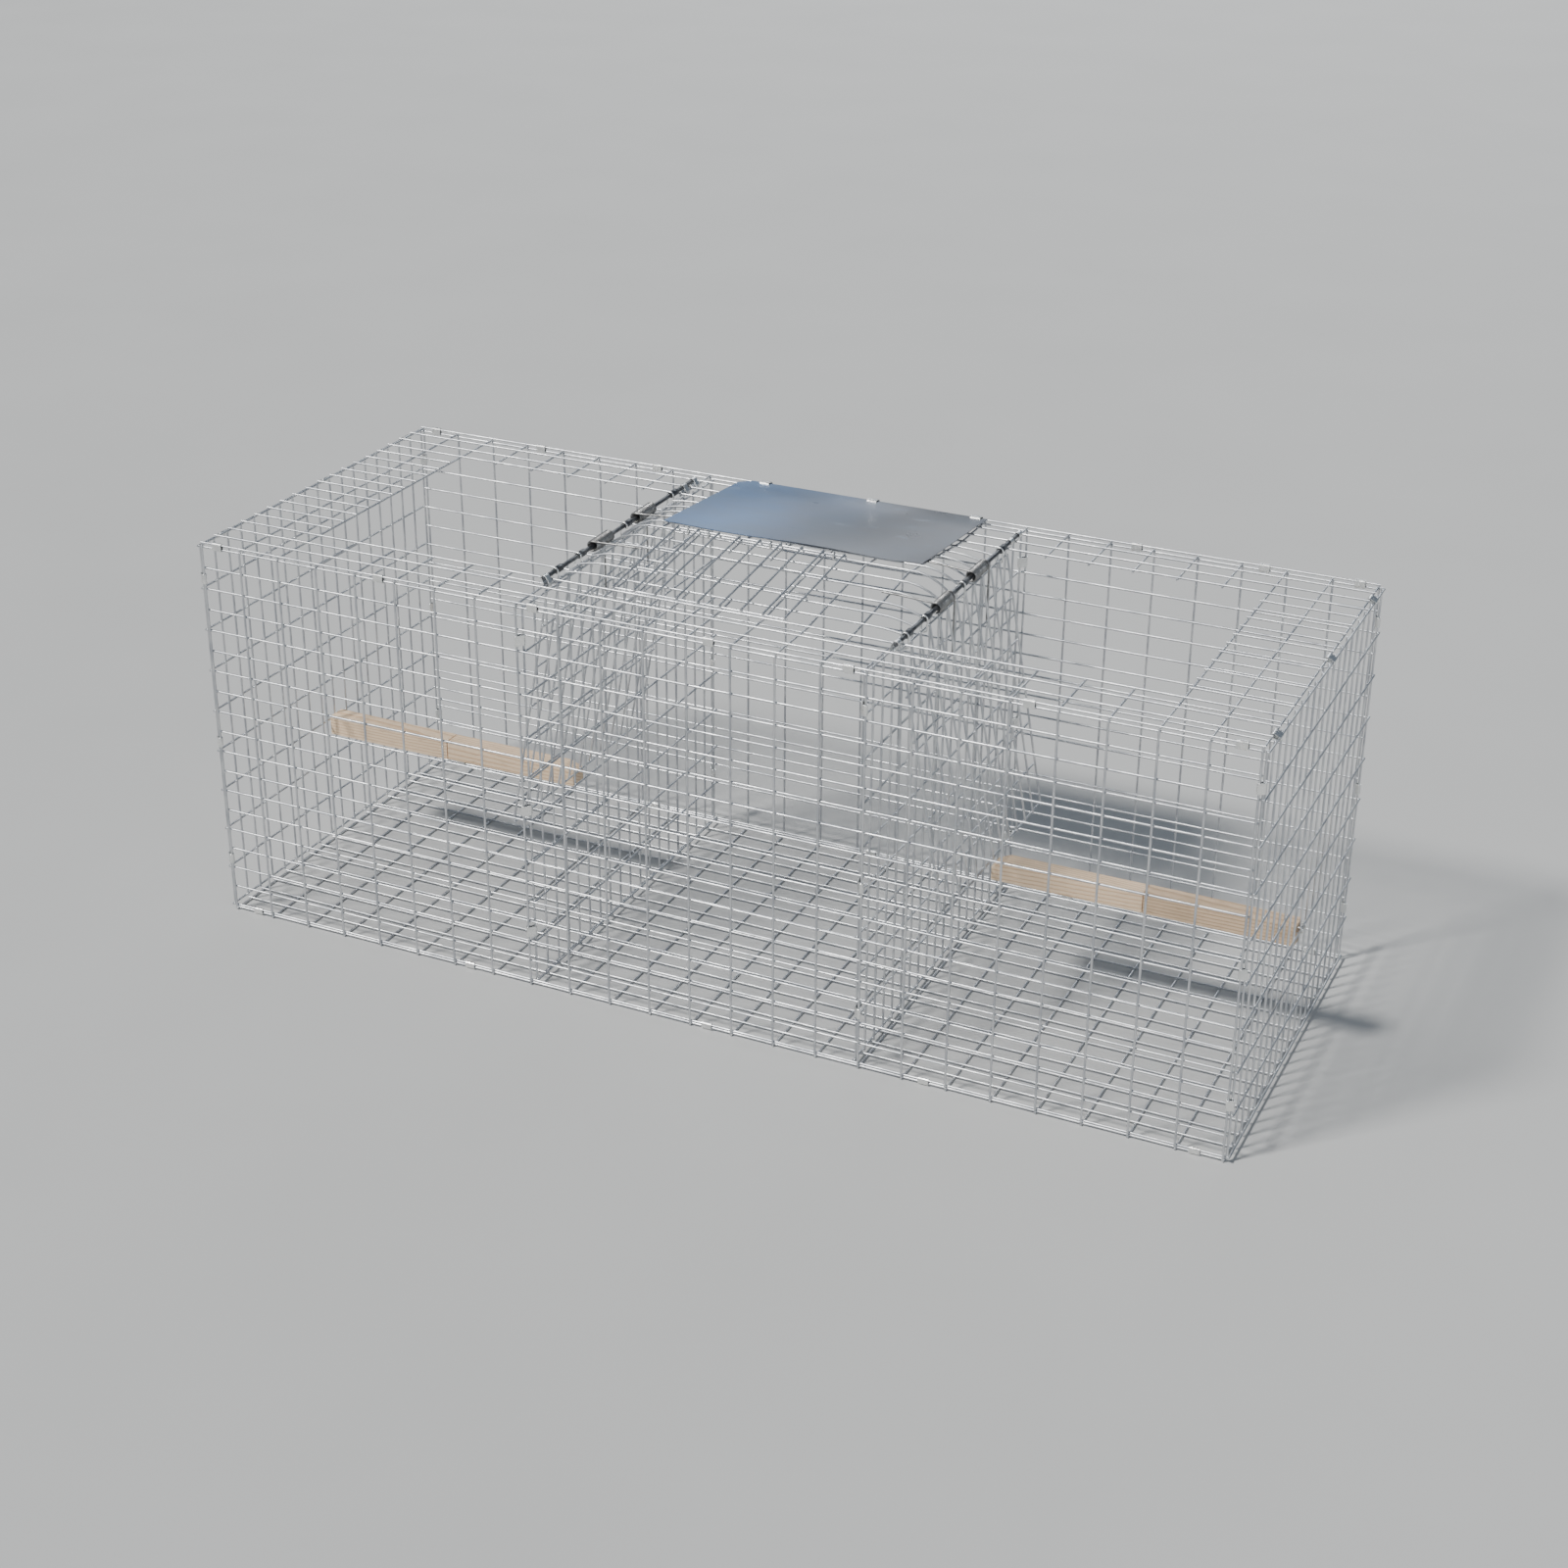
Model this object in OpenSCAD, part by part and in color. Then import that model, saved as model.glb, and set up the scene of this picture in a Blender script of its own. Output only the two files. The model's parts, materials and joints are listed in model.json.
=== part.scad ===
// Live catch trap: a three-compartment cage of welded mesh. The two outer compartments are
// entered from above. Each has a sprung door that hangs open against a split perch, and
// swings up under the roof when the inner half of the perch drops. Millimetres, +Z up,
// origin on the ground under the middle of the cage, long side along X, front towards -Y.

/* [Mesh] */
// Thickness of the mesh wire
wire_d = 2.5; // [2:0.1:3]
// Short side of a mesh cell, the long side is twice this
cell = 25.4; // [20:0.1:32]
// Depth that one wire sinks into another at a weld
weld = 0.4; // [0.2:0.1:0.6]
// How far wire ends stand past the last crossing
tip = 2; // [1.5:0.1:3]

/* [Cage] */
// Long cells along each of the three compartments
bay_cols = 8; // [6:1:10]
// Short cells from front to back
depth_rows = 18; // [16:2:24]
// Long cells from floor to roof
wall_cols = 9; // [8:1:12]
// Clearance between panels that lie against each other
seat = 0.2; // [0.1:0.05:0.5]

/* [Roof] */
// Long cells of roof left at each end of the cage
end_strip_cols = 2; // [1:1:3]
// Short cells of roof left along the front and the back
side_strip_rows = 3; // [2:1:4]
// Rise of the centre roof at its crown
roof_rise = 18; // [8:1:24]
// Gap from the middle of a partition to the nearest long wire of the walls
partition_shift = 5; // [5:0.5:8]

/* [Doors] */
// Lean of a set door from the vertical
door_lean = 10.5; // [8:0.5:16]
// Clearance between a shut door and the roof above it
door_gap = 0.8; // [0.5:0.1:2]
// Diameter of the hinge rods
rod_d = 5; // [4:0.5:6]
// Distance from a hinge rod to the plane of its partition
rod_to_partition = 8.4; // [7.5:0.1:12]
// Wire thickness of the hinge rings
ring_wire = 2; // [1.5:0.1:2.2]
// Clear radius inside a hinge ring
ring_in_r = 3; // [2.8:0.1:3.4]

/* [Springs] */
// Wire thickness of the door springs
spring_wire = 2.2; // [1.6:0.1:2.4]
// Mean radius of a spring coil
coil_r = 5.9; // [5:0.1:6]
// Turns in a spring coil
coil_turns = 13; // [8:1:15]
// Rise of one turn along the rod
coil_pitch = 2.8; // [2.5:0.1:3]

/* [Perches] */
// Width and height of the perch batten
perch_w = 24; // [18:1:30]
// Length of the perch half that is stapled to the end wall
fixed_half_len = 169; // [120:1:200]
// Distance from the door's lower wire down to the middle of the perch
perch_below_door = 8.2; // [6:0.1:10]
// Width of the leaf hinge under the perch
leaf_w = 18; // [12:1:20]

/* [Plate and hatch] */
// Width of the shade plate
plate_w = 313; // [200:1:320]
// Depth of the shade plate
plate_len = 206; // [120:1:230]
// Thickness of the shade plate
plate_t = 0.8; // [0.6:0.1:1.5]
// Column where the hatch opening starts
hatch_col = 10; // [9:1:11]
// Long cells across the hatch opening
hatch_cols = 3; // [2:1:4]
// Short cells from the front roof strip to the hatch opening
hatch_row_gap = 1; // [1:1:2]
// Short cells from front to back of the hatch opening
hatch_rows = 4; // [3:1:5]

/* [Clips] */
// Length of a mesh clip along its wires
clip_len = 12; // [8:1:16]
// Metal thickness of a mesh clip
clip_t = 0.9; // [0.6:0.1:1.2]

/* [Hidden] */

long = 2 * cell;
// A six-sided bar of this width has the same section area as the round wire
section_d = 1.1 * wire_d;
section_r = section_d / 2;
lay = wire_d - weld;
half_len = 1.5 * bay_cols * long;
cage_cols = 3 * bay_cols;
front_y = row(0);
back_y = row(depth_rows);
strip_row = side_strip_rows;
far_strip_row = depth_rows - side_strip_rows;
crown_row = depth_rows / 2;

// Rows where the centre roof's bars start and finish, and those along the hatch's hole
roof_start = strip_row + (tip + 0.3) / cell;
roof_finish = far_strip_row - (tip + 0.3) / cell;
hatch_front_row = strip_row + hatch_row_gap;
hatch_back_row = hatch_front_row + hatch_rows;

// Heights, from the ground up
floor_bar_z = section_r;
floor_line_z = floor_bar_z + lay;
wall_z = floor_line_z + section_d + seat;
wall_top_z = wall_z + wall_cols * long;
roof_bar_z = wall_top_z + section_d + seat;
roof_line_z = roof_bar_z + lay;
rod_z = roof_line_z + section_r + rod_d / 2 + seat / 2;
pin_z = roof_bar_z - 2 * section_r - lay - door_gap;

// Short ends of wires that stop where they meet the next panel
wall_tip = section_r - 0.2;
partition_y = front_y + section_d + seat + 0.9;

// Left side, from the end wall inwards
end_x = -half_len - tip - section_r - 1.5 * seat;
partition_x = col(bay_cols) + partition_shift;
rod_x = partition_x - rod_to_partition;

// Door, set
door_len = (bay_cols - end_strip_cols) * long;
door_low_x = rod_x - door_len * sin(door_lean);
door_low_z = pin_z - door_len * cos(door_lean);
door_face = (lay + section_r) / cos(door_lean);

// Perch
perch_z = door_low_z - perch_below_door;
perch_x = -half_len - tip + seat / 2;
perch_end_x = door_low_x - door_face - 0.6;
split_x = perch_x + fixed_half_len;
split_gap = 0.8;
bevel_h = perch_z + perch_w / 2 - (door_low_z - section_r) + 1.6;
bevel_len = bevel_h / tan(24);
leaf_t = 1.2;
leaf_len = 22;
knuckle_r = 2.2;
knee_z = perch_z - perch_w / 2 - knuckle_r - 0.2;
knee_pin_r = 1;
staple_d = 2;
staple_z = wall_z + long * round((perch_z - wall_z) / long);
staple_span = 3.2;
staple_depth = 14;

// Flats in the rounded end of a clip
clip_steps = 4;

// Places along the hinge rods, as rows counted from the front
ring_rows = [strip_row + 0.5, strip_row + 2.5, crown_row + 0.7, far_strip_row - 0.8];
front_spring_row = crown_row - 1.5;
rear_spring_row = crown_row + 2.5;
rod_front_y = row(strip_row - 0.5);
rod_back_y = row(far_strip_row + 1.7);
rod_clip_len = 8;
coil_len = coil_turns * coil_pitch;

function col(i) = i * long - half_len;
function row(k) = (k - depth_rows / 2) * cell;
// Height of the centre roof's crossing wires above the flat roof, at any row
function rise(k) = roof_rise * max(0, 1 - abs(k - crown_row) / (far_strip_row - crown_row));

// A straight bar from one point to another
module bar(from, to, d = section_d, sides = 6) {
    run = to - from;
    reach = norm(run);
    translate(from)
        rotate([0, acos(run[2] / reach), atan2(run[1], run[0])])
            cylinder(d = d, h = reach, $fn = sides);
}

// A flat sheet of mesh in XY: bars along Y a long cell apart, lines along X above them.
// The tips say how far the wires run past the first and the last crossing.
module sheet(cols, rows, x_tips = [tip, tip], y_tips = [tip, tip], pitch = cell, first = 0) {
    for (i = [first:cols])
        bar([i * long, -y_tips[0], 0], [i * long, rows * pitch + y_tips[1], 0]);
    for (k = [0:rows])
        bar([-x_tips[0], k * pitch, lay], [cols * long + x_tips[1], k * pitch, lay]);
}

// Outline around two circles that lie a distance apart along X
function round_ended(gap, r) = [for (end = [0, 1], i = [0:clip_steps])
    let (a = 90 + 180 * (end + i / clip_steps))
    [end * gap + r * cos(a), r * sin(a)]];

// A rounded loop of sheet metal around two wires
module band(gap, inner_r, width) {
    linear_extrude(width, center = true)
        difference() {
            polygon(round_ended(gap, inner_r + clip_t));
            polygon(round_ended(gap, inner_r));
        }
}

// A mesh clip around two wires, from a to b in the plane across direction "along"
module clip(a, b, along, inner_r = section_r + 0.15, width = clip_len) {
    run = b - a;
    side = cross(along, run / norm(run));
    u = run / norm(run);
    multmatrix([[u[0], side[0], along[0], a[0]],
                [u[1], side[1], along[1], a[1]],
                [u[2], side[2], along[2], a[2]]])
        band(norm(run), inner_r, width);
}

module mirror_copy() { mirror([1, 0, 0]) children(); }

// ---- Panels ----

module floor_panel() {
    color("silver")
        translate([-half_len, front_y, floor_bar_z]) sheet(cage_cols, depth_rows);
}

// The front wall's uprights are on its outer side, and it hangs from its top line down
module front_panel() {
    color("silver")
        translate([-half_len, front_y - lay, wall_top_z])
            rotate([-90, 0, 0])
                sheet(cage_cols, 2 * wall_cols, y_tips = [wall_tip, wall_tip]);
}

module back_panel() { color("silver") mirror([0, 1, 0]) front_panel(); }

module left_end_panel() {
    color("silver")
        translate([end_x - lay, front_y, wall_top_z])
            rotate([0, 90, 0])
                sheet(wall_cols, depth_rows, x_tips = [tip, wall_tip]);
}

module right_end_panel() { color("silver") mirror_copy() left_end_panel(); }

// A partition stands just inside the long walls, so its uprights are drawn in a little
module left_partition() {
    color("silver")
        translate([partition_x + lay, partition_y, wall_z])
            rotate([0, -90, 0])
                sheet(wall_cols, depth_rows, x_tips = [wall_tip, wall_tip],
                      pitch = -2 * partition_y / depth_rows);
}

module right_partition() { color("silver") mirror_copy() left_partition(); }

// ---- Roof ----

module roof_front_strip() {
    color("silver")
        translate([-half_len, front_y, roof_bar_z]) sheet(cage_cols, side_strip_rows);
}

module roof_back_strip() {
    color("silver")
        translate([-half_len, row(far_strip_row), roof_bar_z]) sheet(cage_cols, side_strip_rows);
}

// End strip between the front and back strips, whose bars meet theirs end to end
module roof_left_strip() {
    strip_rows = far_strip_row - strip_row - 2;
    color("silver")
        translate([-half_len, row(strip_row + 1), roof_bar_z])
            sheet(end_strip_cols, strip_rows, y_tips = [cell - tip, cell - tip]);
}

module roof_right_strip() { color("silver") mirror_copy() roof_left_strip(); }

// A roof line that climbs from the partition to its neighbour column and runs on level
module bowed_line(k, x_from, x_to) {
    edge = -partition_x;
    shoulder = -col(bay_cols + 1);
    top = roof_line_z + rise(k);
    low = roof_line_z;
    points = concat(
        x_from < -shoulder ? [[-edge - tip, low], [-shoulder, top]] : [[x_from, top]],
        x_to > shoulder ? [[shoulder, top], [edge + tip, low]] : [[x_to, top]]);
    for (i = [0:len(points) - 2])
        bar([points[i][0], row(k), points[i][1]], [points[i + 1][0], row(k), points[i + 1][1]]);
}

// A roof bar under the lines, from row a to row b on one slope of the crown
module roof_bar(x, a, b, height) {
    bar([x, row(a), roof_bar_z + height * rise(a) / roof_rise],
        [x, row(b), roof_bar_z + height * rise(b) / roof_rise]);
}

// The bowed centre roof comes in four pieces around the hatch's hole. The side pieces hold the
// stubs beside the hole, and the pieces in front of it and behind it start at the stubs' ends.
function hole_side(i, way) = col(i) + way * tip;

module left_part_of_roof(last_col, stub_x) {
    for (k = [strip_row + 1:far_strip_row - 1])
        bowed_line(k, -half_len, stub_x);
    for (i = [bay_cols + 1:last_col]) {
        roof_bar(col(i), roof_start, crown_row, roof_rise);
        roof_bar(col(i), crown_row, roof_finish, roof_rise);
    }
    roof_bar(partition_x, roof_start, roof_finish, 0);
}

module roof_centre_left() {
    color("silver") left_part_of_roof(hatch_col, hole_side(hatch_col, 1));
}

module roof_centre_right() {
    first_col = hatch_col + hatch_cols;
    color("silver")
        mirror_copy() left_part_of_roof(cage_cols - first_col, -hole_side(first_col, -1));
}

module roof_middle_lines(first_row, last_row) {
    for (k = [first_row:last_row])
        bowed_line(k, hole_side(hatch_col, 1), hole_side(hatch_col + hatch_cols, -1));
}

module roof_centre_front() {
    color("silver") {
        roof_middle_lines(strip_row + 1, hatch_front_row);
        for (i = [hatch_col + 1:hatch_col + hatch_cols - 1])
            roof_bar(col(i), roof_start, hatch_front_row + tip / cell, roof_rise);
    }
}

module roof_centre_rear() {
    color("silver") {
        roof_middle_lines(hatch_back_row, far_strip_row - 1);
        for (i = [hatch_col + 1:hatch_col + hatch_cols - 1]) {
            roof_bar(col(i), hatch_back_row - tip / cell, crown_row, roof_rise);
            roof_bar(col(i), crown_row, roof_finish, roof_rise);
        }
    }
}

// ---- Shade plate ----

plate_edge_gap = 3;
plate_front_y = back_y - plate_edge_gap - plate_len;
plate_rest_k = crown_row + ceil((plate_front_y - row(crown_row)) / cell);
plate_seat_z = roof_line_z + section_r + 0.1;
plate_slope = atan2(rise(plate_rest_k), back_y - row(plate_rest_k));

// Places the plate's own flat frame: origin at the middle of its back edge, Y to the front
module on_plate() {
    translate([0, back_y - plate_edge_gap, plate_seat_z + plate_edge_gap * tan(plate_slope)])
        rotate([-plate_slope, 0, 0])
            children();
}

module shade_plate() {
    snip = 14;
    notch = 16;
    w = plate_w / 2;
    color("lightsteelblue")
        on_plate()
            difference() {
                linear_extrude(plate_t)
                    polygon([
                        [-w, -plate_len], [w - notch - 12, -plate_len], [w - notch, -plate_len + 6],
                        [w, -plate_len + 6], [w, 0], [-w + snip, 0], [-w, -snip]
                    ]);
                for (x = plate_clip_x)
                    translate([x - clip_len / 2 - 0.5, -plate_slot_y - plate_slot_w / 2, -1])
                        cube([clip_len + 1, plate_slot_w, plate_t + 2]);
            }
}

plate_clip_room = clip_len / 2 + section_d;
plate_clip_x = [for (x = [-plate_w / 2 + 30, cell / 2, plate_w / 2 - 14]) beside_bar(x)];
plate_clip_r = 2.3;
plate_clip_reach = 5.6;
plate_slot_y = plate_clip_reach + plate_clip_r - plate_edge_gap;
plate_slot_w = 2.2;

// A place along X moved, where it must be, so that a clip there stays clear of the roof's bars
function beside_bar(x) = let (bar_x = long * round(x / long), off = x - bar_x)
    abs(off) < plate_clip_room ? bar_x + (off < 0 ? -1 : 1) * plate_clip_room : x;

// Clips through the plate's back slots and around the last roof line
module shade_plate_clips() {
    color("gainsboro")
        for (x = plate_clip_x)
            clip([x, back_y, roof_line_z + 0.4],
                 [x, back_y - plate_clip_reach, plate_seat_z], [1, 0, 0], plate_clip_r);
}

// ---- Hatch ----

hatch_slope = atan2(roof_rise, row(crown_row) - row(strip_row));
hatch_pin_up = section_r + wire_d / 2 + 0.45;
hatch_w_cells = 2 * hatch_cols + 2;
hatch_long_cells = round((crown_row - strip_row) / 2);
hatch_mid_x = col(hatch_col + hatch_cols / 2);
hatch_ring_in_r = wire_d / 2 + 0.45;

// The hatch's own frame: origin on its hinge wire, Y to the back along the sloping roof
module on_hatch() {
    translate([hatch_mid_x, row(crown_row), roof_line_z + roof_rise])
        rotate([hatch_slope, 0, 0])
            children();
}

module hatch_panel() {
    half_w = hatch_w_cells * cell / 2;
    color("silver")
        on_hatch()
            translate([0, 0, hatch_pin_up]) {
                translate([-half_w, 0, 0])
                    rotate([0, 0, -90])
                        sheet(hatch_long_cells, hatch_w_cells, x_tips = [1, tip], first = 1);
                bar([-half_w - tip, 0, 0], [half_w + tip, 0, 0], wire_d, 24);
            }
}

// Round-ended wire link around two parallel wires, lying in the plane across X
module wire_link(gap, inner_r, d) {
    mean_r = inner_r + d / 2;
    for (end = [0, 1])
        translate([0, 0, end * gap])
            rotate([90, 0, 90])
                rotate([0, 0, end == 1 ? 0 : 180])
                    rotate_extrude(angle = 180, $fn = 48)
                        translate([mean_r, 0]) circle(d = d, $fn = 24);
    for (side = [-1, 1])
        translate([0, side * mean_r, 0]) cylinder(d = d, h = gap, $fn = 24);
}

module hatch_hinge_rings() {
    color("gainsboro")
        on_hatch()
            for (i = [-3.5, -2.5, 0.5, 3.5])
                translate([i * cell, 0, 0])
                    wire_link(hatch_pin_up, hatch_ring_in_r, 1.8);
}

// ---- Door hinge ----

module left_hinge_rod() {
    color("dimgray")
        translate([rod_x, rod_front_y, rod_z])
            rotate([-90, 0, 0])
                cylinder(d = rod_d, h = rod_back_y - rod_front_y, $fn = 48);
}

module right_hinge_rod() { color("dimgray") mirror_copy() left_hinge_rod(); }

// Clips that hold the rod down on the bar of each roof strip
module left_rod_clips() {
    bar_x = col(bay_cols);
    color("gainsboro")
        for (k = [strip_row - 0.32, far_strip_row + 0.5, far_strip_row + 1.5])
            clip([bar_x, row(k), roof_bar_z], [rod_x, row(k), rod_z], [0, 1, 0],
                 rod_d / 2 + 0.35, rod_clip_len);
}

module right_rod_clips() { color("gainsboro") mirror_copy() left_rod_clips(); }

// Rings that hang from the rod and carry the door's top wire
module left_hinge_rings() {
    upper_z = rod_z - (ring_in_r - rod_d / 2) + 0.2;
    lower_z = pin_z + (ring_in_r - wire_d / 2) - 0.3;
    color("whitesmoke")
        for (k = ring_rows)
            translate([rod_x, row(k), lower_z])
                rotate([0, 0, 90])
                    wire_link(upper_z - lower_z, ring_in_r, ring_wire);
}

module right_hinge_rings() { color("whitesmoke") mirror_copy() left_hinge_rings(); }

// Split tube spacers beside the rings, which keep them from sliding
module left_rod_sleeves() {
    sleeve_len = 13;
    sleeve_r = rod_d / 2 + 1.6;
    color("dimgray")
        for (k = ring_rows)
            translate([rod_x, row(k) + ring_wire / 2 + 0.6, rod_z])
                rotate([-90, 0, 0])
                    difference() {
                        cylinder(r = sleeve_r, h = sleeve_len, $fn = 48);
                        translate([0, 0, -1])
                            cylinder(r = rod_d / 2 + 0.05, h = sleeve_len + 2, $fn = 48);
                    }
}

module right_rod_sleeves() { color("dimgray") mirror_copy() left_rod_sleeves(); }

// ---- Springs ----

function unit(v) = v / norm(v);
function point_on_path(path, i) = path[min(max(i, 0), len(path) - 1)];
function heading(path, i) = unit(point_on_path(path, i + 1) - point_on_path(path, i - 1));

// A wire of constant thickness along a path that never runs parallel to Y
module swept_wire(path, d, sides = 5) {
    rings = len(path);
    points = [for (j = [0:rings - 1])
        let (t = heading(path, j), n = unit(cross(t, [0, 1, 0])), m = cross(t, n))
        for (i = [0:sides - 1])
            path[j] + d / 2 * (cos(360 * i / sides) * n + sin(360 * i / sides) * m)];
    walls = [for (j = [0:rings - 2]) for (i = [0:sides - 1])
        let (a = j * sides + i, b = j * sides + (i + 1) % sides)
        each [[a, a + sides, b + sides], [a, b + sides, b]]];
    first = [[for (i = [0:sides - 1]) i]];
    last = [[for (i = [sides - 1:-1:0]) (rings - 1) * sides + i]];
    polyhedron(points = points, faces = concat(first, walls, last));
}

// Coil around the rod whose front end runs on as a leg over the centre roof
module spring(k, leg_len) {
    steps = 8;
    start_y = row(k) - coil_len / 2;
    leg_end_z = roof_bar_z + section_r + spring_wire / 2 + 0.4 + rise(k - coil_len / 2 / cell);
    leg = [[rod_x + leg_len, start_y, leg_end_z], [rod_x + leg_len / 2, start_y,
        (leg_end_z + rod_z + coil_r) / 2 + 0.3], [rod_x + 3, start_y, rod_z + coil_r]];
    coil = [for (i = [0:steps * coil_turns])
        let (turn = i / steps, a = 90 + 360 * turn)
        [rod_x + coil_r * cos(a), start_y + turn * coil_pitch, rod_z + coil_r * sin(a)]];
    color("slategray") swept_wire(concat(leg, coil), spring_wire);
}

// Moving end turn of a spring, whose arm reaches through the door and under its second wire
module spring_arm(k) {
    y = row(k) + coil_len / 2 + spring_wire + 0.3;
    steps = 12;
    turn = 250;
    start = 180 - turn;
    arc = [for (i = [0:steps])
        let (a = start + turn * i / steps)
        [rod_x + coil_r * cos(a), y, rod_z + coil_r * sin(a)]];
    bar_x = rod_x - long * sin(door_lean);
    bar_z = pin_z - long * cos(door_lean);
    reach_x = bar_x + section_r + spring_wire / 2 + 1.1;
    straight = [[reach_x, y, bar_z - 2], [reach_x - 0.4, y, bar_z - 6]];
    color("slategray") swept_wire(concat(arc, straight), spring_wire);
}

module left_front_spring() { spring(front_spring_row, 62); }

module left_rear_spring() { spring(rear_spring_row, 59); }

module right_front_spring() { mirror_copy() left_front_spring(); }

module right_rear_spring() { mirror_copy() left_rear_spring(); }

module left_front_spring_arm() { spring_arm(front_spring_row); }

module left_rear_spring_arm() { spring_arm(rear_spring_row); }

module right_front_spring_arm() { mirror_copy() left_front_spring_arm(); }

module right_rear_spring_arm() { mirror_copy() left_rear_spring_arm(); }

// ---- Doors ----

// Hanging mesh flap in the door's own frame: origin on its top wire, -Z down the door
module door_flap() {
    y1 = row(far_strip_row);
    translate([0, y1, 0])
        rotate([0, 90, 180])
            sheet(bay_cols - end_strip_cols, far_strip_row - strip_row,
                  x_tips = [wall_tip, wall_tip], first = 1);
    bar([0, -y1 - tip, 0], [0, y1 + tip, 0], wire_d, 24);
}

module left_door() {
    color("silver")
        translate([rod_x, 0, pin_z]) rotate([0, door_lean, 0]) door_flap();
}

module right_door() { color("silver") mirror_copy() left_door(); }

// ---- Perches ----

module left_perch_fixed_half() {
    color("burlywood")
        difference() {
            translate([perch_x, -perch_w / 2, perch_z - perch_w / 2])
                cube([fixed_half_len - split_gap / 2, perch_w, perch_w]);
            for (y = [-6, 6], s = [-1, 1])
                translate([perch_x - 1, y, staple_z + s * staple_span])
                    rotate([0, 90, 0]) cylinder(d = staple_d + 0.1, h = staple_depth + 1.2, $fn = 24);
        }
}

module right_perch_fixed_half() { color("burlywood") mirror_copy() left_perch_fixed_half(); }

module left_perch_treadle() {
    top = perch_z + perch_w / 2;
    low = perch_z - perch_w / 2;
    color("burlywood")
        rotate([90, 0, 0])
            translate([0, 0, -perch_w / 2])
                linear_extrude(perch_w)
                    polygon([
                        [split_x + split_gap / 2, low], [perch_end_x, low],
                        [perch_end_x, top - bevel_h], [perch_end_x - bevel_len, top],
                        [split_x + split_gap / 2, top]
                    ]);
}

module right_perch_treadle() { color("burlywood") mirror_copy() left_perch_treadle(); }

// Knuckle along Y on the hinge line under the perch split
module knuckle(y0, y1, bore_r) {
    translate([split_x, y0, knee_z])
        rotate([-90, 0, 0])
            difference() {
                cylinder(r = knuckle_r, h = y1 - y0, $fn = 36);
                translate([0, 0, -1]) cylinder(r = bore_r, h = y1 - y0 + 2, $fn = 36);
            }
}

// Flat leaf on the underside of the perch, from the hinge line outwards
module leaf_plate(side, y0, y1) {
    x0 = side > 0 ? split_x : split_x - leaf_len;
    top = perch_z - perch_w / 2 - 0.05;
    difference() {
        translate([x0, y0, top - leaf_t]) cube([leaf_len, y1 - y0, leaf_t]);
        translate([split_x, y0 - 1, knee_z])
            rotate([-90, 0, 0]) cylinder(r = knuckle_r - 0.6, h = y1 - y0 + 2, $fn = 36);
    }
}

module left_perch_fixed_leaf() {
    third = leaf_w / 3;
    color("gray") {
        for (y = [-leaf_w / 2, leaf_w / 2 - third]) {
            knuckle(y, y + third, knee_pin_r + 0.02);
            leaf_plate(-1, y, y + third);
        }
        translate([split_x - leaf_len, -leaf_w / 2, perch_z - perch_w / 2 - 0.05 - leaf_t])
            cube([leaf_len - knuckle_r - 1, leaf_w, leaf_t]);
        translate([split_x, -leaf_w / 2, knee_z])
            rotate([-90, 0, 0]) cylinder(r = knee_pin_r + 0.02, h = 1, $fn = 36);
        translate([split_x, -leaf_w / 2, knee_z])
            rotate([-90, 0, 0]) cylinder(r = knee_pin_r, h = leaf_w, $fn = 36);
    }
}

module right_perch_fixed_leaf() { color("gray") mirror_copy() left_perch_fixed_leaf(); }

module left_perch_moving_leaf() {
    third = leaf_w / 3;
    edge = leaf_w / 2 - third - 0.3;
    color("gray") {
        knuckle(-edge, edge, knee_pin_r + 0.08);
        leaf_plate(1, -edge, edge);
        translate([split_x + knuckle_r + 1, -leaf_w / 2, perch_z - perch_w / 2 - 0.05 - leaf_t])
            cube([leaf_len - knuckle_r - 1, leaf_w, leaf_t]);
    }
}

module right_perch_moving_leaf() { color("gray") mirror_copy() left_perch_moving_leaf(); }

// Fencing staples around an end wall wire, driven into the end of the perch
module left_perch_staples() {
    crown_x = end_x - lay - section_r - staple_d / 2 - 0.3 + staple_span;
    color("gainsboro")
        for (y = [-6, 6])
            translate([0, y, staple_z]) {
                for (s = [-1, 1])
                    translate([crown_x, 0, s * staple_span])
                        rotate([0, 90, 0])
                            cylinder(d = staple_d, h = perch_x + staple_depth - crown_x, $fn = 24);
                translate([crown_x, 0, 0])
                    rotate([90, 0, 0])
                        rotate([0, 0, 90])
                            rotate_extrude(angle = 180, $fn = 48)
                                translate([staple_span, 0]) circle(d = staple_d, $fn = 24);
            }
}

module right_perch_staples() { color("gainsboro") mirror_copy() left_perch_staples(); }

// ---- Mesh clips ----

front_clip_cols = [0.4, 4.6, 8.4, 12.5, 15.6, 19.4, 23.6];
back_clip_cols = [0.4, 3.4, 6.6, 18.6, 21.5, 23.6];
floor_clip_cols = [0.6, 6.4, 12.4, 17.5, 23.4];
side_clip_levels = [1.25, 4.25, 8.25];

module front_top_clips() {
    color("gainsboro")
        for (i = front_clip_cols)
            clip([col(i), front_y, wall_top_z], [col(i), front_y, roof_line_z], [1, 0, 0]);
}

module back_top_clips() {
    color("gainsboro")
        for (i = back_clip_cols)
            clip([col(i), back_y, wall_top_z], [col(i), back_y, roof_line_z], [1, 0, 0]);
}

module floor_clips(y) {
    color("gainsboro")
        for (i = floor_clip_cols)
            clip([col(i), y, floor_line_z], [col(i), y, wall_z], [1, 0, 0]);
}

module front_floor_clips() { floor_clips(front_y); }

module back_floor_clips() { floor_clips(back_y); }

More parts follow.
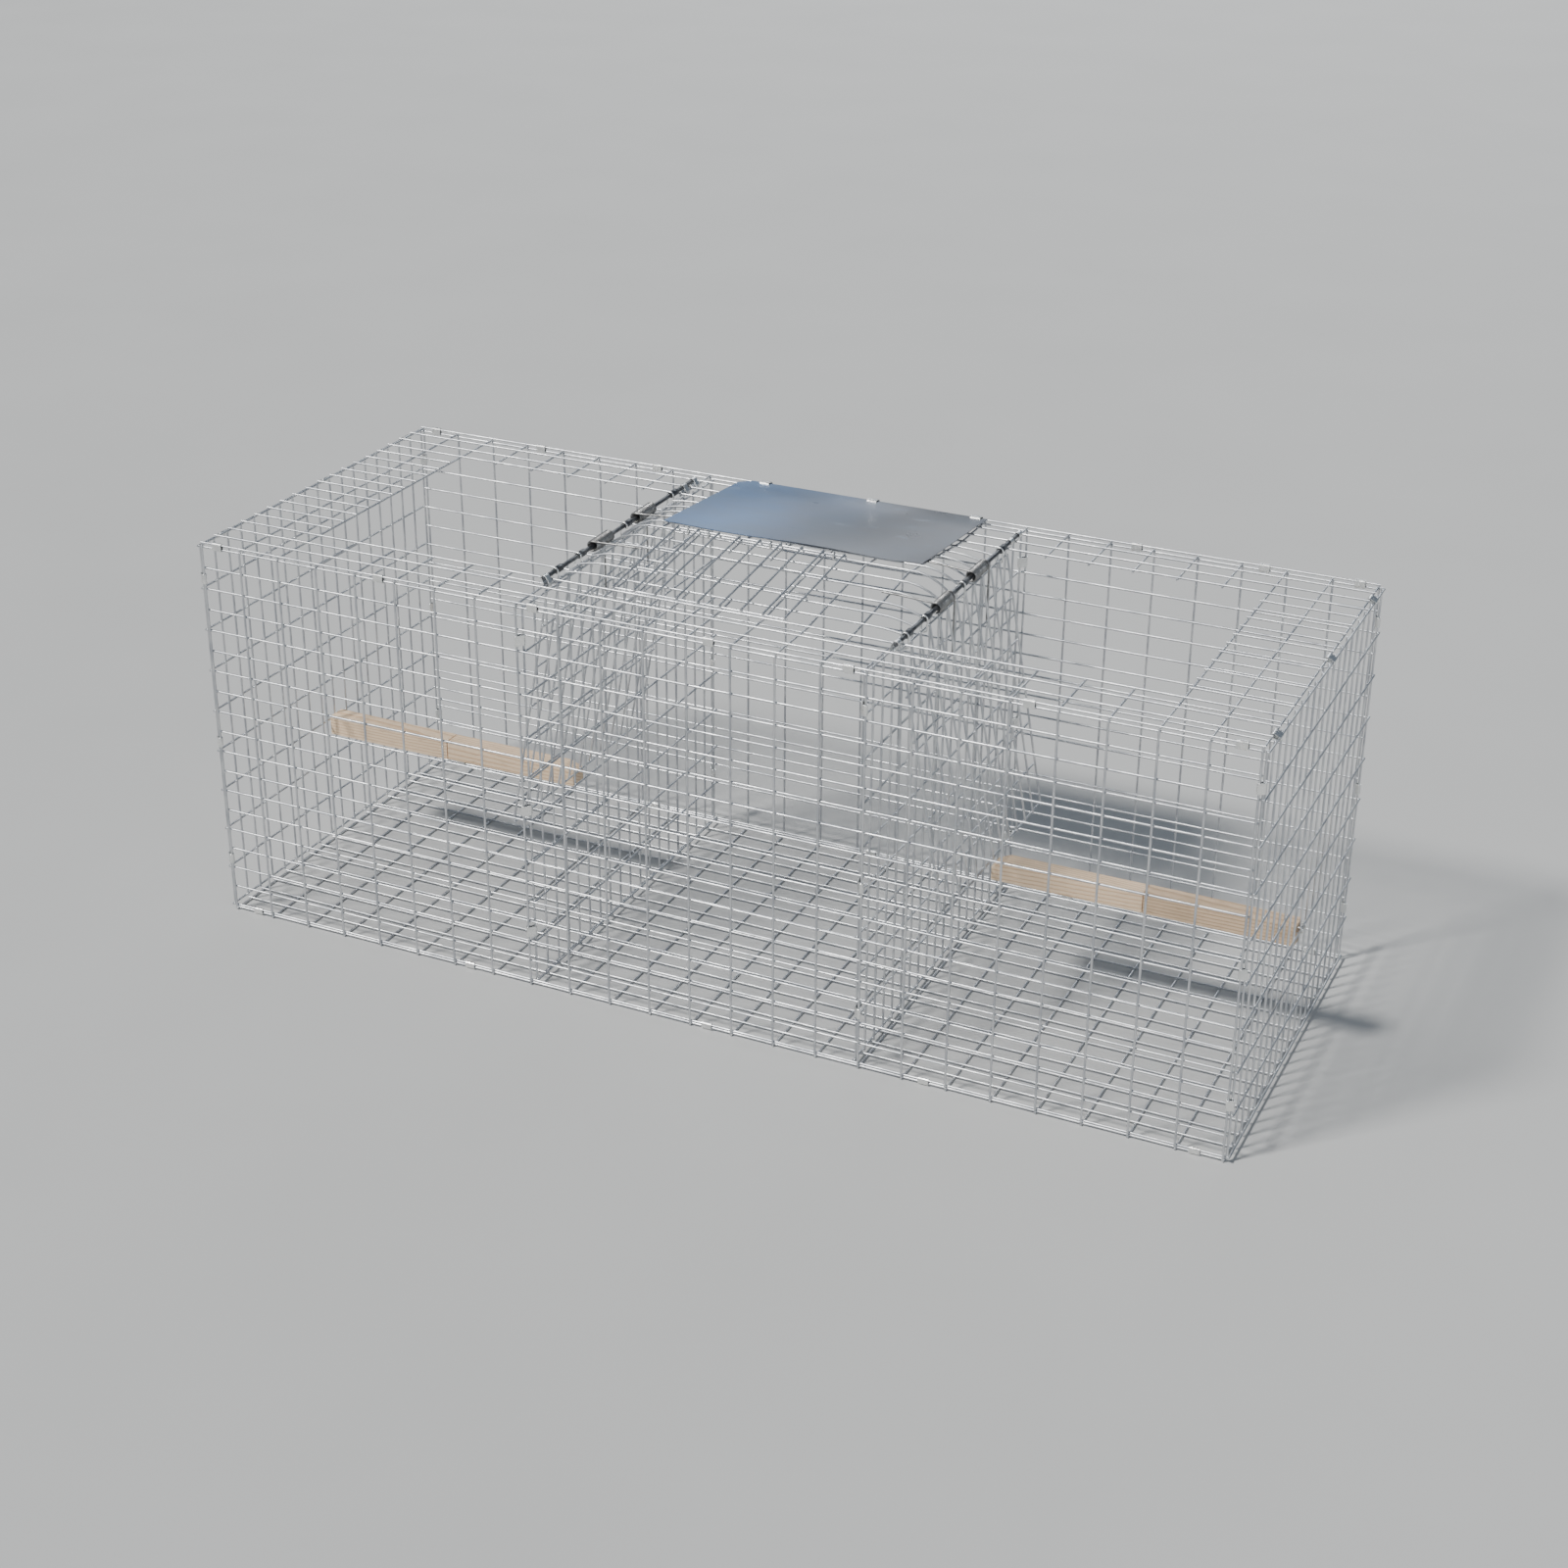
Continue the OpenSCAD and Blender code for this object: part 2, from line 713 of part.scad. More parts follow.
// Clips up the four corners, around the last upright of a long wall and of an end wall
module corner_clips() {
    color("gainsboro")
        for (sx = [-1, 1], sy = [-1, 1], j = side_clip_levels)
            clip([sx * half_len, sy * (back_y + lay), wall_z + j * long],
                 [sx * -end_x, sy * back_y, wall_z + j * long], [0, 0, 1]);
}

module end_roof_clips() {
    color("gainsboro")
        for (sx = [-1, 1], k = [1.5, crown_row + 0.5, depth_rows - 1.5])
            clip([sx * half_len, row(k), roof_bar_z], [sx * (-end_x + lay), row(k), wall_top_z],
                 [0, 1, 0]);
}

module partition_clips() {
    color("gainsboro")
        for (sx = [-1, 1], sy = [-1, 1], j = side_clip_levels)
            clip([sx * -col(bay_cols), sy * (back_y + lay), wall_z + j * long],
                 [sx * -partition_x, sy * -partition_y, wall_z + j * long],
                 [0, 0, 1]);
}

floor_panel();
front_panel();
back_panel();
left_end_panel();
right_end_panel();
left_partition();
right_partition();
roof_front_strip();
roof_back_strip();
roof_left_strip();
roof_right_strip();
roof_centre_left();
roof_centre_right();
roof_centre_front();
roof_centre_rear();
shade_plate();
shade_plate_clips();
hatch_panel();
hatch_hinge_rings();
left_hinge_rod();
right_hinge_rod();
left_rod_clips();
right_rod_clips();
left_hinge_rings();
right_hinge_rings();
left_rod_sleeves();
right_rod_sleeves();
left_front_spring();
left_rear_spring();
right_front_spring();
right_rear_spring();
left_front_spring_arm();
left_rear_spring_arm();
right_front_spring_arm();
right_rear_spring_arm();
left_door();
right_door();
left_perch_fixed_half();
right_perch_fixed_half();
left_perch_treadle();
right_perch_treadle();
left_perch_fixed_leaf();
right_perch_fixed_leaf();
left_perch_moving_leaf();
right_perch_moving_leaf();
left_perch_staples();
right_perch_staples();
front_top_clips();
back_top_clips();
front_floor_clips();
back_floor_clips();
corner_clips();
end_roof_clips();
partition_clips();
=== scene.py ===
import json
import math
import random

import bmesh
import bpy
from mathutils import Euler, Matrix, Vector


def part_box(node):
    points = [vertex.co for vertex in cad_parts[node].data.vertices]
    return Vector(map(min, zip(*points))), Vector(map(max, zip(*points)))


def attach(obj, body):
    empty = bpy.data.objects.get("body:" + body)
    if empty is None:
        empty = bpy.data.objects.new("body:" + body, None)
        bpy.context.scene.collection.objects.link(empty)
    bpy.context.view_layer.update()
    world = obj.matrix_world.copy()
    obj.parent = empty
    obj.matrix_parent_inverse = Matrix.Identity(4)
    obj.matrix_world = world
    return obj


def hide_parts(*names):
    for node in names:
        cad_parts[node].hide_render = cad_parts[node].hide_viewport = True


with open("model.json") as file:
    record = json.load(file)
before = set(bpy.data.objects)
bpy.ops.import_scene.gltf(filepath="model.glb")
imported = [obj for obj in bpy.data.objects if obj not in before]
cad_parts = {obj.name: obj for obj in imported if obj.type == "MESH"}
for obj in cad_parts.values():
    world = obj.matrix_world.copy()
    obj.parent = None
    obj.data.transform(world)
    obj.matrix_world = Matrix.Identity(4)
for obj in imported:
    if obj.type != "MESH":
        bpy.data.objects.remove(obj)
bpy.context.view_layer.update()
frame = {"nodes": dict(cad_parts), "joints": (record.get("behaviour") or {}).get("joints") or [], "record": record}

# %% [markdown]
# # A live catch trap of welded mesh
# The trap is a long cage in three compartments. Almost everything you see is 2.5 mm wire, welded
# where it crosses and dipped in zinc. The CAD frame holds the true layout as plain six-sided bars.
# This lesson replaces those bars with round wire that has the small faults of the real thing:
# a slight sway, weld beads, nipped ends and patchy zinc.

bodies = frame["record"]["behaviour"]["bodies"]
joints = {joint["name"]: joint for joint in frame["joints"]}
MM = 0.001

# %% [markdown]
# ## The measures that everything follows
# Welded mesh is made to a pitch, so the cage is best described by counting cells. The few lengths
# below are the ones a maker would quote: wire, cell, how deep one wire sinks into the other, and
# how far ends stand proud. Heights then stack up from the ground, panel on panel.

# %% Mesh measures
WIRE = 2.5 * MM
CELL = 25.4 * MM
LONG = 2 * CELL
LAY = WIRE - 0.4 * MM
BAR_R = 0.55 * WIRE
SEAT = 0.2 * MM
TIP = 2 * MM
SHORT_TIP = BAR_R - SEAT
COLS, ROWS, LEVELS = 24, 18, 9
BAY = COLS // 3
STRIP, FAR_STRIP, CROWN = 3, ROWS - 3, ROWS // 2
HALF_LEN = COLS * LONG / 2


def col(i):
    return i * LONG - HALF_LEN


def row(k):
    return (k - ROWS / 2) * CELL


floor_z = BAR_R
floor_line_z = floor_z + LAY
wall_z = floor_line_z + 2 * BAR_R + SEAT
wall_top_z = wall_z + LEVELS * LONG
roof_bar_z = wall_top_z + 2 * BAR_R + SEAT
roof_line_z = roof_bar_z + LAY
rod_x, _, rod_z = joints["left_spring_arm_turn"]["pos_m"]
pin_z = joints["left_door_swing"]["pos_m"][2]
partition_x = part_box("left_partition")[0].x + BAR_R
end_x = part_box("left_end_panel")[1].x - BAR_R
print("wall from", round(wall_z, 5), "to", round(wall_top_z, 5), "m, roof lines at",
      round(roof_line_z, 5))

# %% [markdown]
# ## Writing shader maths as plain expressions
# A node material soon turns into a tangle of Math nodes. A small class that wraps a socket and
# overloads + - * and ** lets the maths be read as maths. Every other node, in materials and in
# Geometry Nodes alike, comes from one function that takes its settings and its sockets' values.

# %% Socket class and finish builder
class Value:
    """A number socket that can be used in ordinary expressions."""

    def __init__(self, finish, socket):
        self.finish, self.socket = finish, socket

    def math(self, operation, other=None, swap=False):
        pair = [other, self] if swap else [self, other]
        fed = {i: part for i, part in enumerate(pair) if part is not None}
        return self.finish.value("ShaderNodeMath", {"operation": operation}, fed)

    def __add__(self, other): return self.math("ADD", other)
    def __radd__(self, other): return self.math("ADD", other)
    def __sub__(self, other): return self.math("SUBTRACT", other)
    def __rsub__(self, other): return self.math("SUBTRACT", other, swap=True)
    def __mul__(self, other): return self.math("MULTIPLY", other)
    def __rmul__(self, other): return self.math("MULTIPLY", other)
    def __pow__(self, other): return self.math("POWER", other)

    def above(self, low, high):
        """0 below low, 1 above high, smooth between."""
        return self.finish.value("ShaderNodeMapRange", {"interpolation_type": "SMOOTHSTEP"},
                                 {0: self, 1: low, 2: high, 3: 0.0, 4: 1.0})


def feed(tree, socket, fed):
    """Links a socket or a Value into another socket, or sets a plain value on it."""
    fed = fed.socket if isinstance(fed, Value) else fed
    if isinstance(fed, bpy.types.NodeSocket):
        tree.links.new(fed, socket)
    else:
        socket.default_value = fed


def tree_node(tree, kind, settings=None, inputs=None):
    made = tree.nodes.new(kind)
    for key, setting in (settings or {}).items():
        setattr(made, key, setting)
    for key, fed in (inputs or {}).items():
        feed(tree, made.inputs[key], fed)
    return made


class Finish:
    """A material under construction, whose patterns read the piece's own Object coordinates."""

    def __init__(self, name):
        self.material = bpy.data.materials.new(name)
        self.material.use_nodes = True
        self.tree = self.material.node_tree
        self.tree.nodes.clear()
        self.shader = self.node("ShaderNodeBsdfPrincipled")
        self.node("ShaderNodeOutputMaterial", inputs={0: self.shader.outputs[0]})
        self.place = self.node("ShaderNodeTexCoord").outputs["Object"]

    def node(self, kind, settings=None, inputs=None):
        return tree_node(self.tree, kind, settings, inputs)

    def value(self, kind, settings=None, inputs=None):
        return Value(self, self.node(kind, settings, inputs).outputs[0])

    def at(self, scale=(1, 1, 1), location=(0, 0, 0), turn=(0, 0, 0)):
        fed = {"Vector": self.place, "Scale": scale, "Location": location, "Rotation": turn}
        return self.node("ShaderNodeMapping", inputs=fed).outputs[0]

    def noise(self, scale, detail=3.0, roughness=0.55, place=None, distortion=0.0):
        fed = {"Vector": place or self.place, "Scale": scale, "Detail": detail,
               "Roughness": roughness, "Distortion": distortion}
        return self.value("ShaderNodeTexNoise", inputs=fed)

    def blend(self, fac, one, other):
        fed = {"Factor": fac, 6: one, 7: other}
        return self.node("ShaderNodeMix", {"data_type": "RGBA"}, fed).outputs[2]

    def relief(self, height, depth, strength=1.0):
        fed = {"Height": height, "Distance": depth, "Strength": strength}
        return self.node("ShaderNodeBump", inputs=fed).outputs[0]

    def coat(self, **inputs):
        for name, fed in inputs.items():
            feed(self.tree, self.shader.inputs[name.replace("_", " ")], fed)
        return self.material


# %% [markdown]
# ## Zinc in three tempers
# Mesh that is galvanised after welding is bright where the zinc is young, and goes dull and grey
# in patches where it has met the weather. The thin wire shows this mostly as changes in gloss, so
# roughness carries the pattern and colour follows it only a little. The same recipe, with other
# numbers, gives the sheet-metal clips and the drawn spring wire.

# %% Metal finishes
def zinc(name, bright, dull, gloss, patch_scale, grain_scale, grain_depth):
    """Patches of dull zinc over bright, with a fine grain of runs and specks."""
    made = Finish(name)
    patches = made.noise(patch_scale, 4.0, 0.6).above(0.38, 0.66)
    specks = made.noise(grain_scale, 3.0, 0.6)
    oxide = made.noise(patch_scale * 5, 2.0, 0.7).above(0.60, 0.74)
    tone = made.blend(patches * 0.75 + specks * 0.25, (*bright, 1), (*dull, 1))
    chalk = tuple(min(1.0, c * 1.12) for c in dull)
    tone = made.blend(oxide * 0.45, tone, (*chalk, 1))
    low, high = gloss
    rough = low + (high - low) * patches + specks * 0.08 + oxide * 0.14
    return made.coat(
        Base_Color=tone, Metallic=1 - oxide * 0.35, Roughness=rough,
        Normal=made.relief(specks * 0.6 + oxide * 0.4, grain_depth))


mesh_zinc = zinc("galvanised_mesh_wire", (0.72, 0.73, 0.74), (0.46, 0.48, 0.51),
                 (0.30, 0.42), 26, 900, 0.12 * MM)
clip_zinc = zinc("bright_zinc_strip", (0.93, 0.93, 0.91), (0.72, 0.73, 0.72),
                 (0.20, 0.38), 60, 700, 0.15 * MM)
spring_steel = zinc("drawn_spring_wire", (0.36, 0.36, 0.355), (0.17, 0.17, 0.17),
                    (0.26, 0.46), 90, 1300, 0.15 * MM)


def dark_steel():
    """Mill-scaled rod: near black, worn to grey in patches, with rusty freckles."""
    made = Finish("dark_rod_steel")
    scale_patches = made.noise(70, 5.0, 0.65).above(0.42, 0.62)
    freckles = made.noise(420, 3.0, 0.7).above(0.62, 0.72)
    drawn = made.noise(900, 2.0, 0.5, place=made.at(scale=(1, 0.02, 1)))
    tone = made.blend(scale_patches * 0.8, (0.10, 0.105, 0.115, 1), (0.27, 0.275, 0.28, 1))
    tone = made.blend(freckles * 0.55, tone, (0.20, 0.105, 0.055, 1))
    return made.coat(
        Base_Color=tone, Metallic=0.9 - freckles * 0.6,
        Roughness=0.36 + scale_patches * 0.14 + freckles * 0.25,
        Normal=made.relief(drawn * 0.5 + freckles * 0.5, 0.2 * MM))


rod_steel = dark_steel()
print("metals:", [m.name for m in (mesh_zinc, clip_zinc, spring_steel, rod_steel)])

# %% [markdown]
# ## A tree that turns centre lines into welded wire
# A wire can be a cylinder, a curve with a bevel, or a swept circle in Geometry Nodes. The last is
# the handiest here, because one tree can take any set of centre lines and treat them all alike.
# It sways the lines a little with a noise that depends only on place, so two wires that cross move
# together and stay welded. It sweeps a circle along each, and drops a bead on every loose point,
# which is where the Python side puts the welds. All beads differ a little in size and shape.

# %% The wire tree
SWAY_SCALE = 9.0
BEAD_SMALLEST, BEAD_LARGEST = (0.85, 0.85, 0.85), (1.12, 1.12, 1.12)


def start_tree(name, sockets):
    """An empty tree with these inputs, their identifiers, and a function that adds its nodes."""
    tree = bpy.data.node_groups.new(name, "GeometryNodeTree")
    tree.interface.new_socket(name="Geometry", in_out="OUTPUT", socket_type="NodeSocketGeometry")
    identifiers = {}
    for label, kind in sockets.items():
        socket = tree.interface.new_socket(name=label, in_out="INPUT",
                                           socket_type="NodeSocket" + kind)
        identifiers[label] = socket.identifier

    def make(kind, settings=None, inputs=None):
        return tree_node(tree, kind, settings, inputs)

    return tree, identifiers, make


def end_tree(make, geometry, finish):
    """Ends a tree: instances made real, one material on everything, the tree's output."""
    real = make("GeometryNodeRealizeInstances", None, {0: geometry})
    coated = make("GeometryNodeSetMaterial", None,
                  {"Geometry": real.outputs[0], "Material": finish})
    make("NodeGroupOutput", None, {0: coated.outputs[0]})


def wire_tree():
    tree, identifiers, make = start_tree("welded_wire", {
        "Centre lines": "Geometry", "Wire diameter": "Float", "Sides": "Int", "Sway": "Float",
        "Bead radius": "Float", "Seed": "Int", "Finish": "Material"})
    given = make("NodeGroupInput").outputs
    place = make("GeometryNodeInputPosition").outputs[0]
    field = make("ShaderNodeTexNoise", {"noise_dimensions": "4D"},
                 {"Vector": place, "W": given["Seed"], "Scale": SWAY_SCALE, "Detail": 1.0})
    centred = make("ShaderNodeVectorMath", {"operation": "SUBTRACT"},
                   {0: field.outputs["Color"], 1: (0.5, 0.5, 0.5)})
    shift = make("ShaderNodeVectorMath", {"operation": "SCALE"},
                 {0: centred.outputs[0], "Scale": given["Sway"]})
    swayed = make("GeometryNodeSetPosition", None,
                  {"Geometry": given["Centre lines"], "Offset": shift.outputs[0]})
    curves = make("GeometryNodeMeshToCurve", None, {"Mesh": swayed.outputs[0]})
    radius = make("ShaderNodeMath", {"operation": "MULTIPLY"}, {0: given["Wire diameter"], 1: 0.5})
    circle = make("GeometryNodeCurvePrimitiveCircle", None,
                  {"Resolution": given["Sides"], "Radius": radius.outputs[0]})
    wires = make("GeometryNodeCurveToMesh", None,
                 {"Curve": curves.outputs[0], "Profile Curve": circle.outputs[0],
                  "Fill Caps": True})
    is_weld = make("GeometryNodeInputNamedAttribute", {"data_type": "BOOLEAN"}, {"Name": "weld"})
    bead = make("GeometryNodeMeshUVSphere", None,
                {"Segments": 8, "Rings": 5, "Radius": given["Bead radius"]})
    size = make("FunctionNodeRandomValue", {"data_type": "FLOAT_VECTOR"},
                {0: BEAD_SMALLEST, 1: BEAD_LARGEST, "Seed": given["Seed"]})
    beads = make("GeometryNodeInstanceOnPoints", None,
                 {"Points": swayed.outputs[0], "Selection": is_weld.outputs[0],
                  "Instance": bead.outputs[0], "Scale": size.outputs[0]})
    both = make("GeometryNodeJoinGeometry")
    tree.links.new(beads.outputs[0], both.inputs[0])
    tree.links.new(wires.outputs[0], both.inputs[0])
    end_tree(make, both.outputs[0], given["Finish"])
    return tree, identifiers


wire_group, wire_inputs = wire_tree()
print("wire tree:", len(wire_group.nodes), "nodes, inputs", list(wire_inputs))

# %% [markdown]
# ## From lines to a finished piece
# The tree wants a mesh of edges with a true-or-false value called weld on its points. A finished
# piece has to be a plain mesh at the origin, so the modifier's result is read from the evaluated
# object and the modifier's own object is thrown away. Ends of wire stay flat-shaded, so that a cut
# end looks cut.

# %% Baking the tree into a plain mesh
def link(name, data):
    made = bpy.data.objects.new(name, data)
    bpy.context.scene.collection.objects.link(made)
    return made


def applied(source, name):
    """The object with its modifiers applied, as a new plain mesh object."""
    bpy.context.view_layer.update()
    evaluated = source.evaluated_get(bpy.context.evaluated_depsgraph_get())
    mesh = bpy.data.meshes.new_from_object(evaluated)
    bpy.data.objects.remove(source)
    mesh.name = name
    return link(name, mesh)


def grown(source, group, identifiers, values, name):
    """Runs a tree on a mesh object and returns its result as a plain mesh object."""
    modifier = source.modifiers.new("tree", "NODES")
    modifier.node_group = group
    for key, given in values.items():
        modifier[identifiers[key]] = given
    made = applied(source, name)
    for face in made.data.polygons:
        face.use_smooth = len(face.vertices) < 6
    return made


def place_piece(piece, body, slot, *replaced):
    """Hands a finished piece to the frame: its body and the nodes it stands for. The slot argument is not used."""
    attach(piece, body)
    if replaced:
        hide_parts(*replaced)
    return piece


def body_of_node(node):
    return next(body for body, nodes in bodies.items() if node in nodes)


def wire_piece(name, lines, welds=(), closed=False, finish=None, diameter=WIRE, sides=10,
               sway=0.4 * MM, bead=1.5 * MM, seed=1):
    """A piece made of wires along the given centre lines, with a bead at each weld point."""
    mesh = bpy.data.meshes.new(name + "_lines")
    points, edges = [], []
    for line in lines:
        start = len(points)
        points += line
        edges += [(i, i + 1) for i in range(start, len(points) - 1)]
        if closed:
            edges.append((len(points) - 1, start))
    marks = [False] * len(points) + [True] * len(welds)
    mesh.from_pydata([*points, *welds], edges, [])
    mesh.attributes.new("weld", "BOOLEAN", "POINT").data.foreach_set("value", marks)
    values = {"Wire diameter": diameter, "Sides": sides, "Sway": sway, "Bead radius": bead,
              "Seed": seed, "Finish": finish or mesh_zinc}
    return grown(link(name + "_source", mesh), wire_group, wire_inputs, values, name)


# %% [markdown]
# ## The layout of a welded sheet
# Every flat panel is the same thing at another size: bars one long cell apart, and lines one short
# cell apart welded on top of them. The function below lays one out flat, and a matrix stands it
# up. Its wires get a point every half cell, which is enough for the sway to bend them softly.

# %% Sheet layout
def straight(start, end, step=CELL / 2):
    """Points from start to end, about a step apart, with one close to each end."""
    start, end = Vector(start), Vector(end)
    count = max(2, round((end - start).length / step))
    return [start.lerp(end, i / count) for i in range(count + 1)]


def sheet(cols, rows, x_tips=(TIP, TIP), y_tips=(TIP, TIP), pitch=CELL):
    """Centre lines and weld points of a flat sheet, as the panels are made."""
    lines = [straight((i * LONG, -y_tips[0], 0), (i * LONG, rows * pitch + y_tips[1], 0))
             for i in range(cols + 1)]
    lines += [straight((-x_tips[0], k * pitch, LAY), (cols * LONG + x_tips[1], k * pitch, LAY))
              for k in range(rows + 1)]
    welds = [Vector((i * LONG, k * pitch, LAY / 2))
             for i in range(cols + 1) for k in range(rows + 1)]
    return lines, welds


def stood(layout, matrix):
    lines, welds = layout
    return [[matrix @ p for p in line] for line in lines], [matrix @ p for p in welds]


def turned(place, x=0, y=0, z=0):
    """A matrix that turns about X, then Y, then Z, in degrees, and moves to a place."""
    angles = [math.radians(a) for a in (x, y, z)]
    return Matrix.Translation(place) @ Euler(angles).to_matrix().to_4x4()


across = Matrix.Scale(-1, 4, (1, 0, 0))
to_back = Matrix.Scale(-1, 4, (0, 1, 0))
BOTH_SIDES = (("left", Matrix()), ("right", across))
print("floor sheet has", len(sheet(COLS, ROWS)[1]), "welds")

# %% [markdown]
# ## Floor, walls, ends and partitions
# These are flat sheets that stand as the frame says. The two long walls have their uprights on the
# outer side. End walls stand outside the long walls' ends and reach a little above them. The
# partitions stand just inside, so their uprights are drawn together by less than a millimetre.

# %% Flat panels
DRAWN_IN = 0.9 * MM
partition_y = row(0) + 2 * BAR_R + SEAT + DRAWN_IN
wall = sheet(COLS, 2 * LEVELS, y_tips=(SHORT_TIP, SHORT_TIP))
wall_place = turned((-HALF_LEN, row(0) - LAY, wall_top_z), x=-90)
end_sheet = sheet(LEVELS, ROWS, x_tips=(TIP, SHORT_TIP))
end_place = turned((end_x - LAY, row(0), wall_top_z), y=90)
partition = sheet(LEVELS, ROWS, (SHORT_TIP, SHORT_TIP), pitch=-2 * partition_y / ROWS)
partition_place = turned((partition_x + LAY, partition_y, wall_z), y=-90)
floor_place = turned((-HALF_LEN, row(0), floor_z))
strip = sheet(COLS, STRIP)
end_strip = sheet(2, FAR_STRIP - STRIP - 2, y_tips=(CELL - TIP, CELL - TIP))
end_strip_place = turned((-HALF_LEN, row(STRIP + 1), roof_bar_z))

flat_panels = {
    "floor_panel": stood(sheet(COLS, ROWS), floor_place),
    "front_panel": stood(wall, wall_place),
    "back_panel": stood(wall, to_back @ wall_place),
    "left_end_panel": stood(end_sheet, end_place),
    "right_end_panel": stood(end_sheet, across @ end_place),
    "left_partition": stood(partition, partition_place),
    "right_partition": stood(partition, across @ partition_place),
    "roof_front_strip": stood(strip, turned((-HALF_LEN, row(0), roof_bar_z))),
    "roof_back_strip": stood(strip, turned((-HALF_LEN, row(FAR_STRIP), roof_bar_z))),
    "roof_left_strip": stood(end_strip, end_strip_place),
    "roof_right_strip": stood(end_strip, across @ end_strip_place),
}
for seed, (node, layout) in enumerate(flat_panels.items()):
    piece = wire_piece(node + "_wires", *layout, seed=seed)
    place_piece(piece, "cage", "mesh_wire", node)
    print(node, len(piece.data.polygons), "faces")

# %% [markdown]
# ## The bowed centre roof
# The middle of the roof is a sheet of its own that was sprung into a low arch, highest across its
# middle row. Its lines climb from the partitions over most of one long cell and then run level,
# and the bars slope to the front and the back. The rise is a product of two curves, one for each
# direction. A rectangle is cut out under the hatch, which leaves short stubs. The frame has this
# sheet in four parts round the hole, and one piece of wires stands for them all.

# %% Centre roof
ROOF_RISE, ROOF_GAP = 18 * MM, 0.3 * MM
HATCH_COL, HATCH_COLS, HATCH_ROWS = 10, 3, 4
hatch_front = STRIP + 1
hatch_back = hatch_front + HATCH_ROWS
SHOULDER, FULLNESS = LONG - 0.5 * CELL, 0.8


def bow(x, y):
    """Height of the arched roof over a flat one."""
    along = max(0.0, 1 - abs(y) / row(FAR_STRIP))
    inward = min(1.0, max(0.0, (abs(partition_x) - abs(x)) / SHOULDER))
    return ROOF_RISE * along * math.sin(inward * math.pi / 2) ** FULLNESS


def bowed(points):
    return [Vector((p.x, p.y, p.z + bow(p.x, p.y))) for p in points]


hole_x = (col(HATCH_COL) + TIP, col(HATCH_COL + HATCH_COLS) - TIP)
hole_y = (row(hatch_front) + TIP, row(hatch_back) - TIP)
edge = abs(partition_x) + TIP
roof_ends = (row(STRIP) + TIP + ROOF_GAP, row(FAR_STRIP) - TIP - ROOF_GAP)
roof_lines = []
for k in range(STRIP + 1, FAR_STRIP):
    spans = [(-edge, edge)]
    if hatch_front < k < hatch_back:
        spans = [(-edge, hole_x[0]), (hole_x[1], edge)]
    roof_lines += [straight((a, row(k), roof_line_z), (b, row(k), roof_line_z)) for a, b in spans]
bar_columns = [col(i) for i in range(BAY + 1, 2 * BAY)] + [partition_x, -partition_x]
for x in bar_columns:
    spans = [roof_ends]
    if hole_x[0] < x < hole_x[1]:
        spans = [(roof_ends[0], hole_y[0]), (hole_y[1], roof_ends[1])]
    roof_lines += [straight((x, a, roof_bar_z), (x, b, roof_bar_z)) for a, b in spans]
roof_welds = [Vector((x, row(k), roof_bar_z + LAY / 2))
              for x in bar_columns for k in range(STRIP + 1, FAR_STRIP)
              if not (hole_x[0] < x < hole_x[1] and hole_y[0] < row(k) < hole_y[1])]
roof = wire_piece("roof_centre_wires", [bowed(line) for line in roof_lines], bowed(roof_welds),
                  seed=31)
place_piece(roof, "cage", "mesh_wire", *[f"roof_centre_{part}"
                                         for part in ("left", "right", "front", "rear")])
print("centre roof:", len(roof_lines), "wires,", len(roof_welds), "welds")

# %% [markdown]
# ## Doors that hang from their top wire
# Each door is a square of the same mesh. Its top wire is also its hinge: it hangs in four wire
# rings. A set door leans out from the partition, so the flat sheet is turned by that lean about
# the hinge. The doors ride on their own bodies, and swing wherever the joint takes them.

# %% Doors
door_lean = 90 - joints["left_door_swing"]["range_deg"][1]
door_rows = FAR_STRIP - STRIP
door_sheet = sheet(BAY - 2, door_rows, (SHORT_TIP, SHORT_TIP))
door_place = (turned((rod_x, 0, pin_z), y=door_lean)
              @ turned((0, row(FAR_STRIP), 0), y=90, z=180))
for side, flip in BOTH_SIDES:
    lines, welds = stood(door_sheet, flip @ door_place)
    door = wire_piece(f"{side}_door_wires", lines, welds, sway=0.25 * MM, seed=41)
    place_piece(door, f"{side}_door", "mesh_wire", f"{side}_door")
print("doors lean", door_lean, "degrees")

# %% [markdown]
# ## The loading hatch
# The hatch is one more cut of mesh, laid over the hole with its long wires running front to back.
# Its rear wire is the hinge, and the wire ends behind that are nipped short, so that they clear
# the roof when it opens. It follows the slope of the front half of the arch.

# %% Hatch
HATCH_PLAY = 0.45 * MM
hatch_slope = math.degrees(math.atan2(ROOF_RISE, row(FAR_STRIP)))
hatch_pin_up = BAR_R + WIRE / 2 + HATCH_PLAY
hatch_cells = 2 * HATCH_COLS + 2
hatch_x = col(HATCH_COL + HATCH_COLS / 2)
on_hatch = turned((hatch_x, 0, roof_line_z + ROOF_RISE), x=hatch_slope)
hatch_place = on_hatch @ turned((-hatch_cells * CELL / 2, 0, hatch_pin_up), z=-90)
hatch_sheet = sheet((CROWN - STRIP) // 2, hatch_cells, x_tips=(0.4 * MM, TIP))
hatch = wire_piece("hatch_wires", *stood(hatch_sheet, hatch_place), sway=0.15 * MM,
                   bead=1.25 * MM, seed=43)
place_piece(hatch, "hatch", "mesh_wire", "hatch_panel")
print("hatch slope", round(hatch_slope, 2), "degrees")

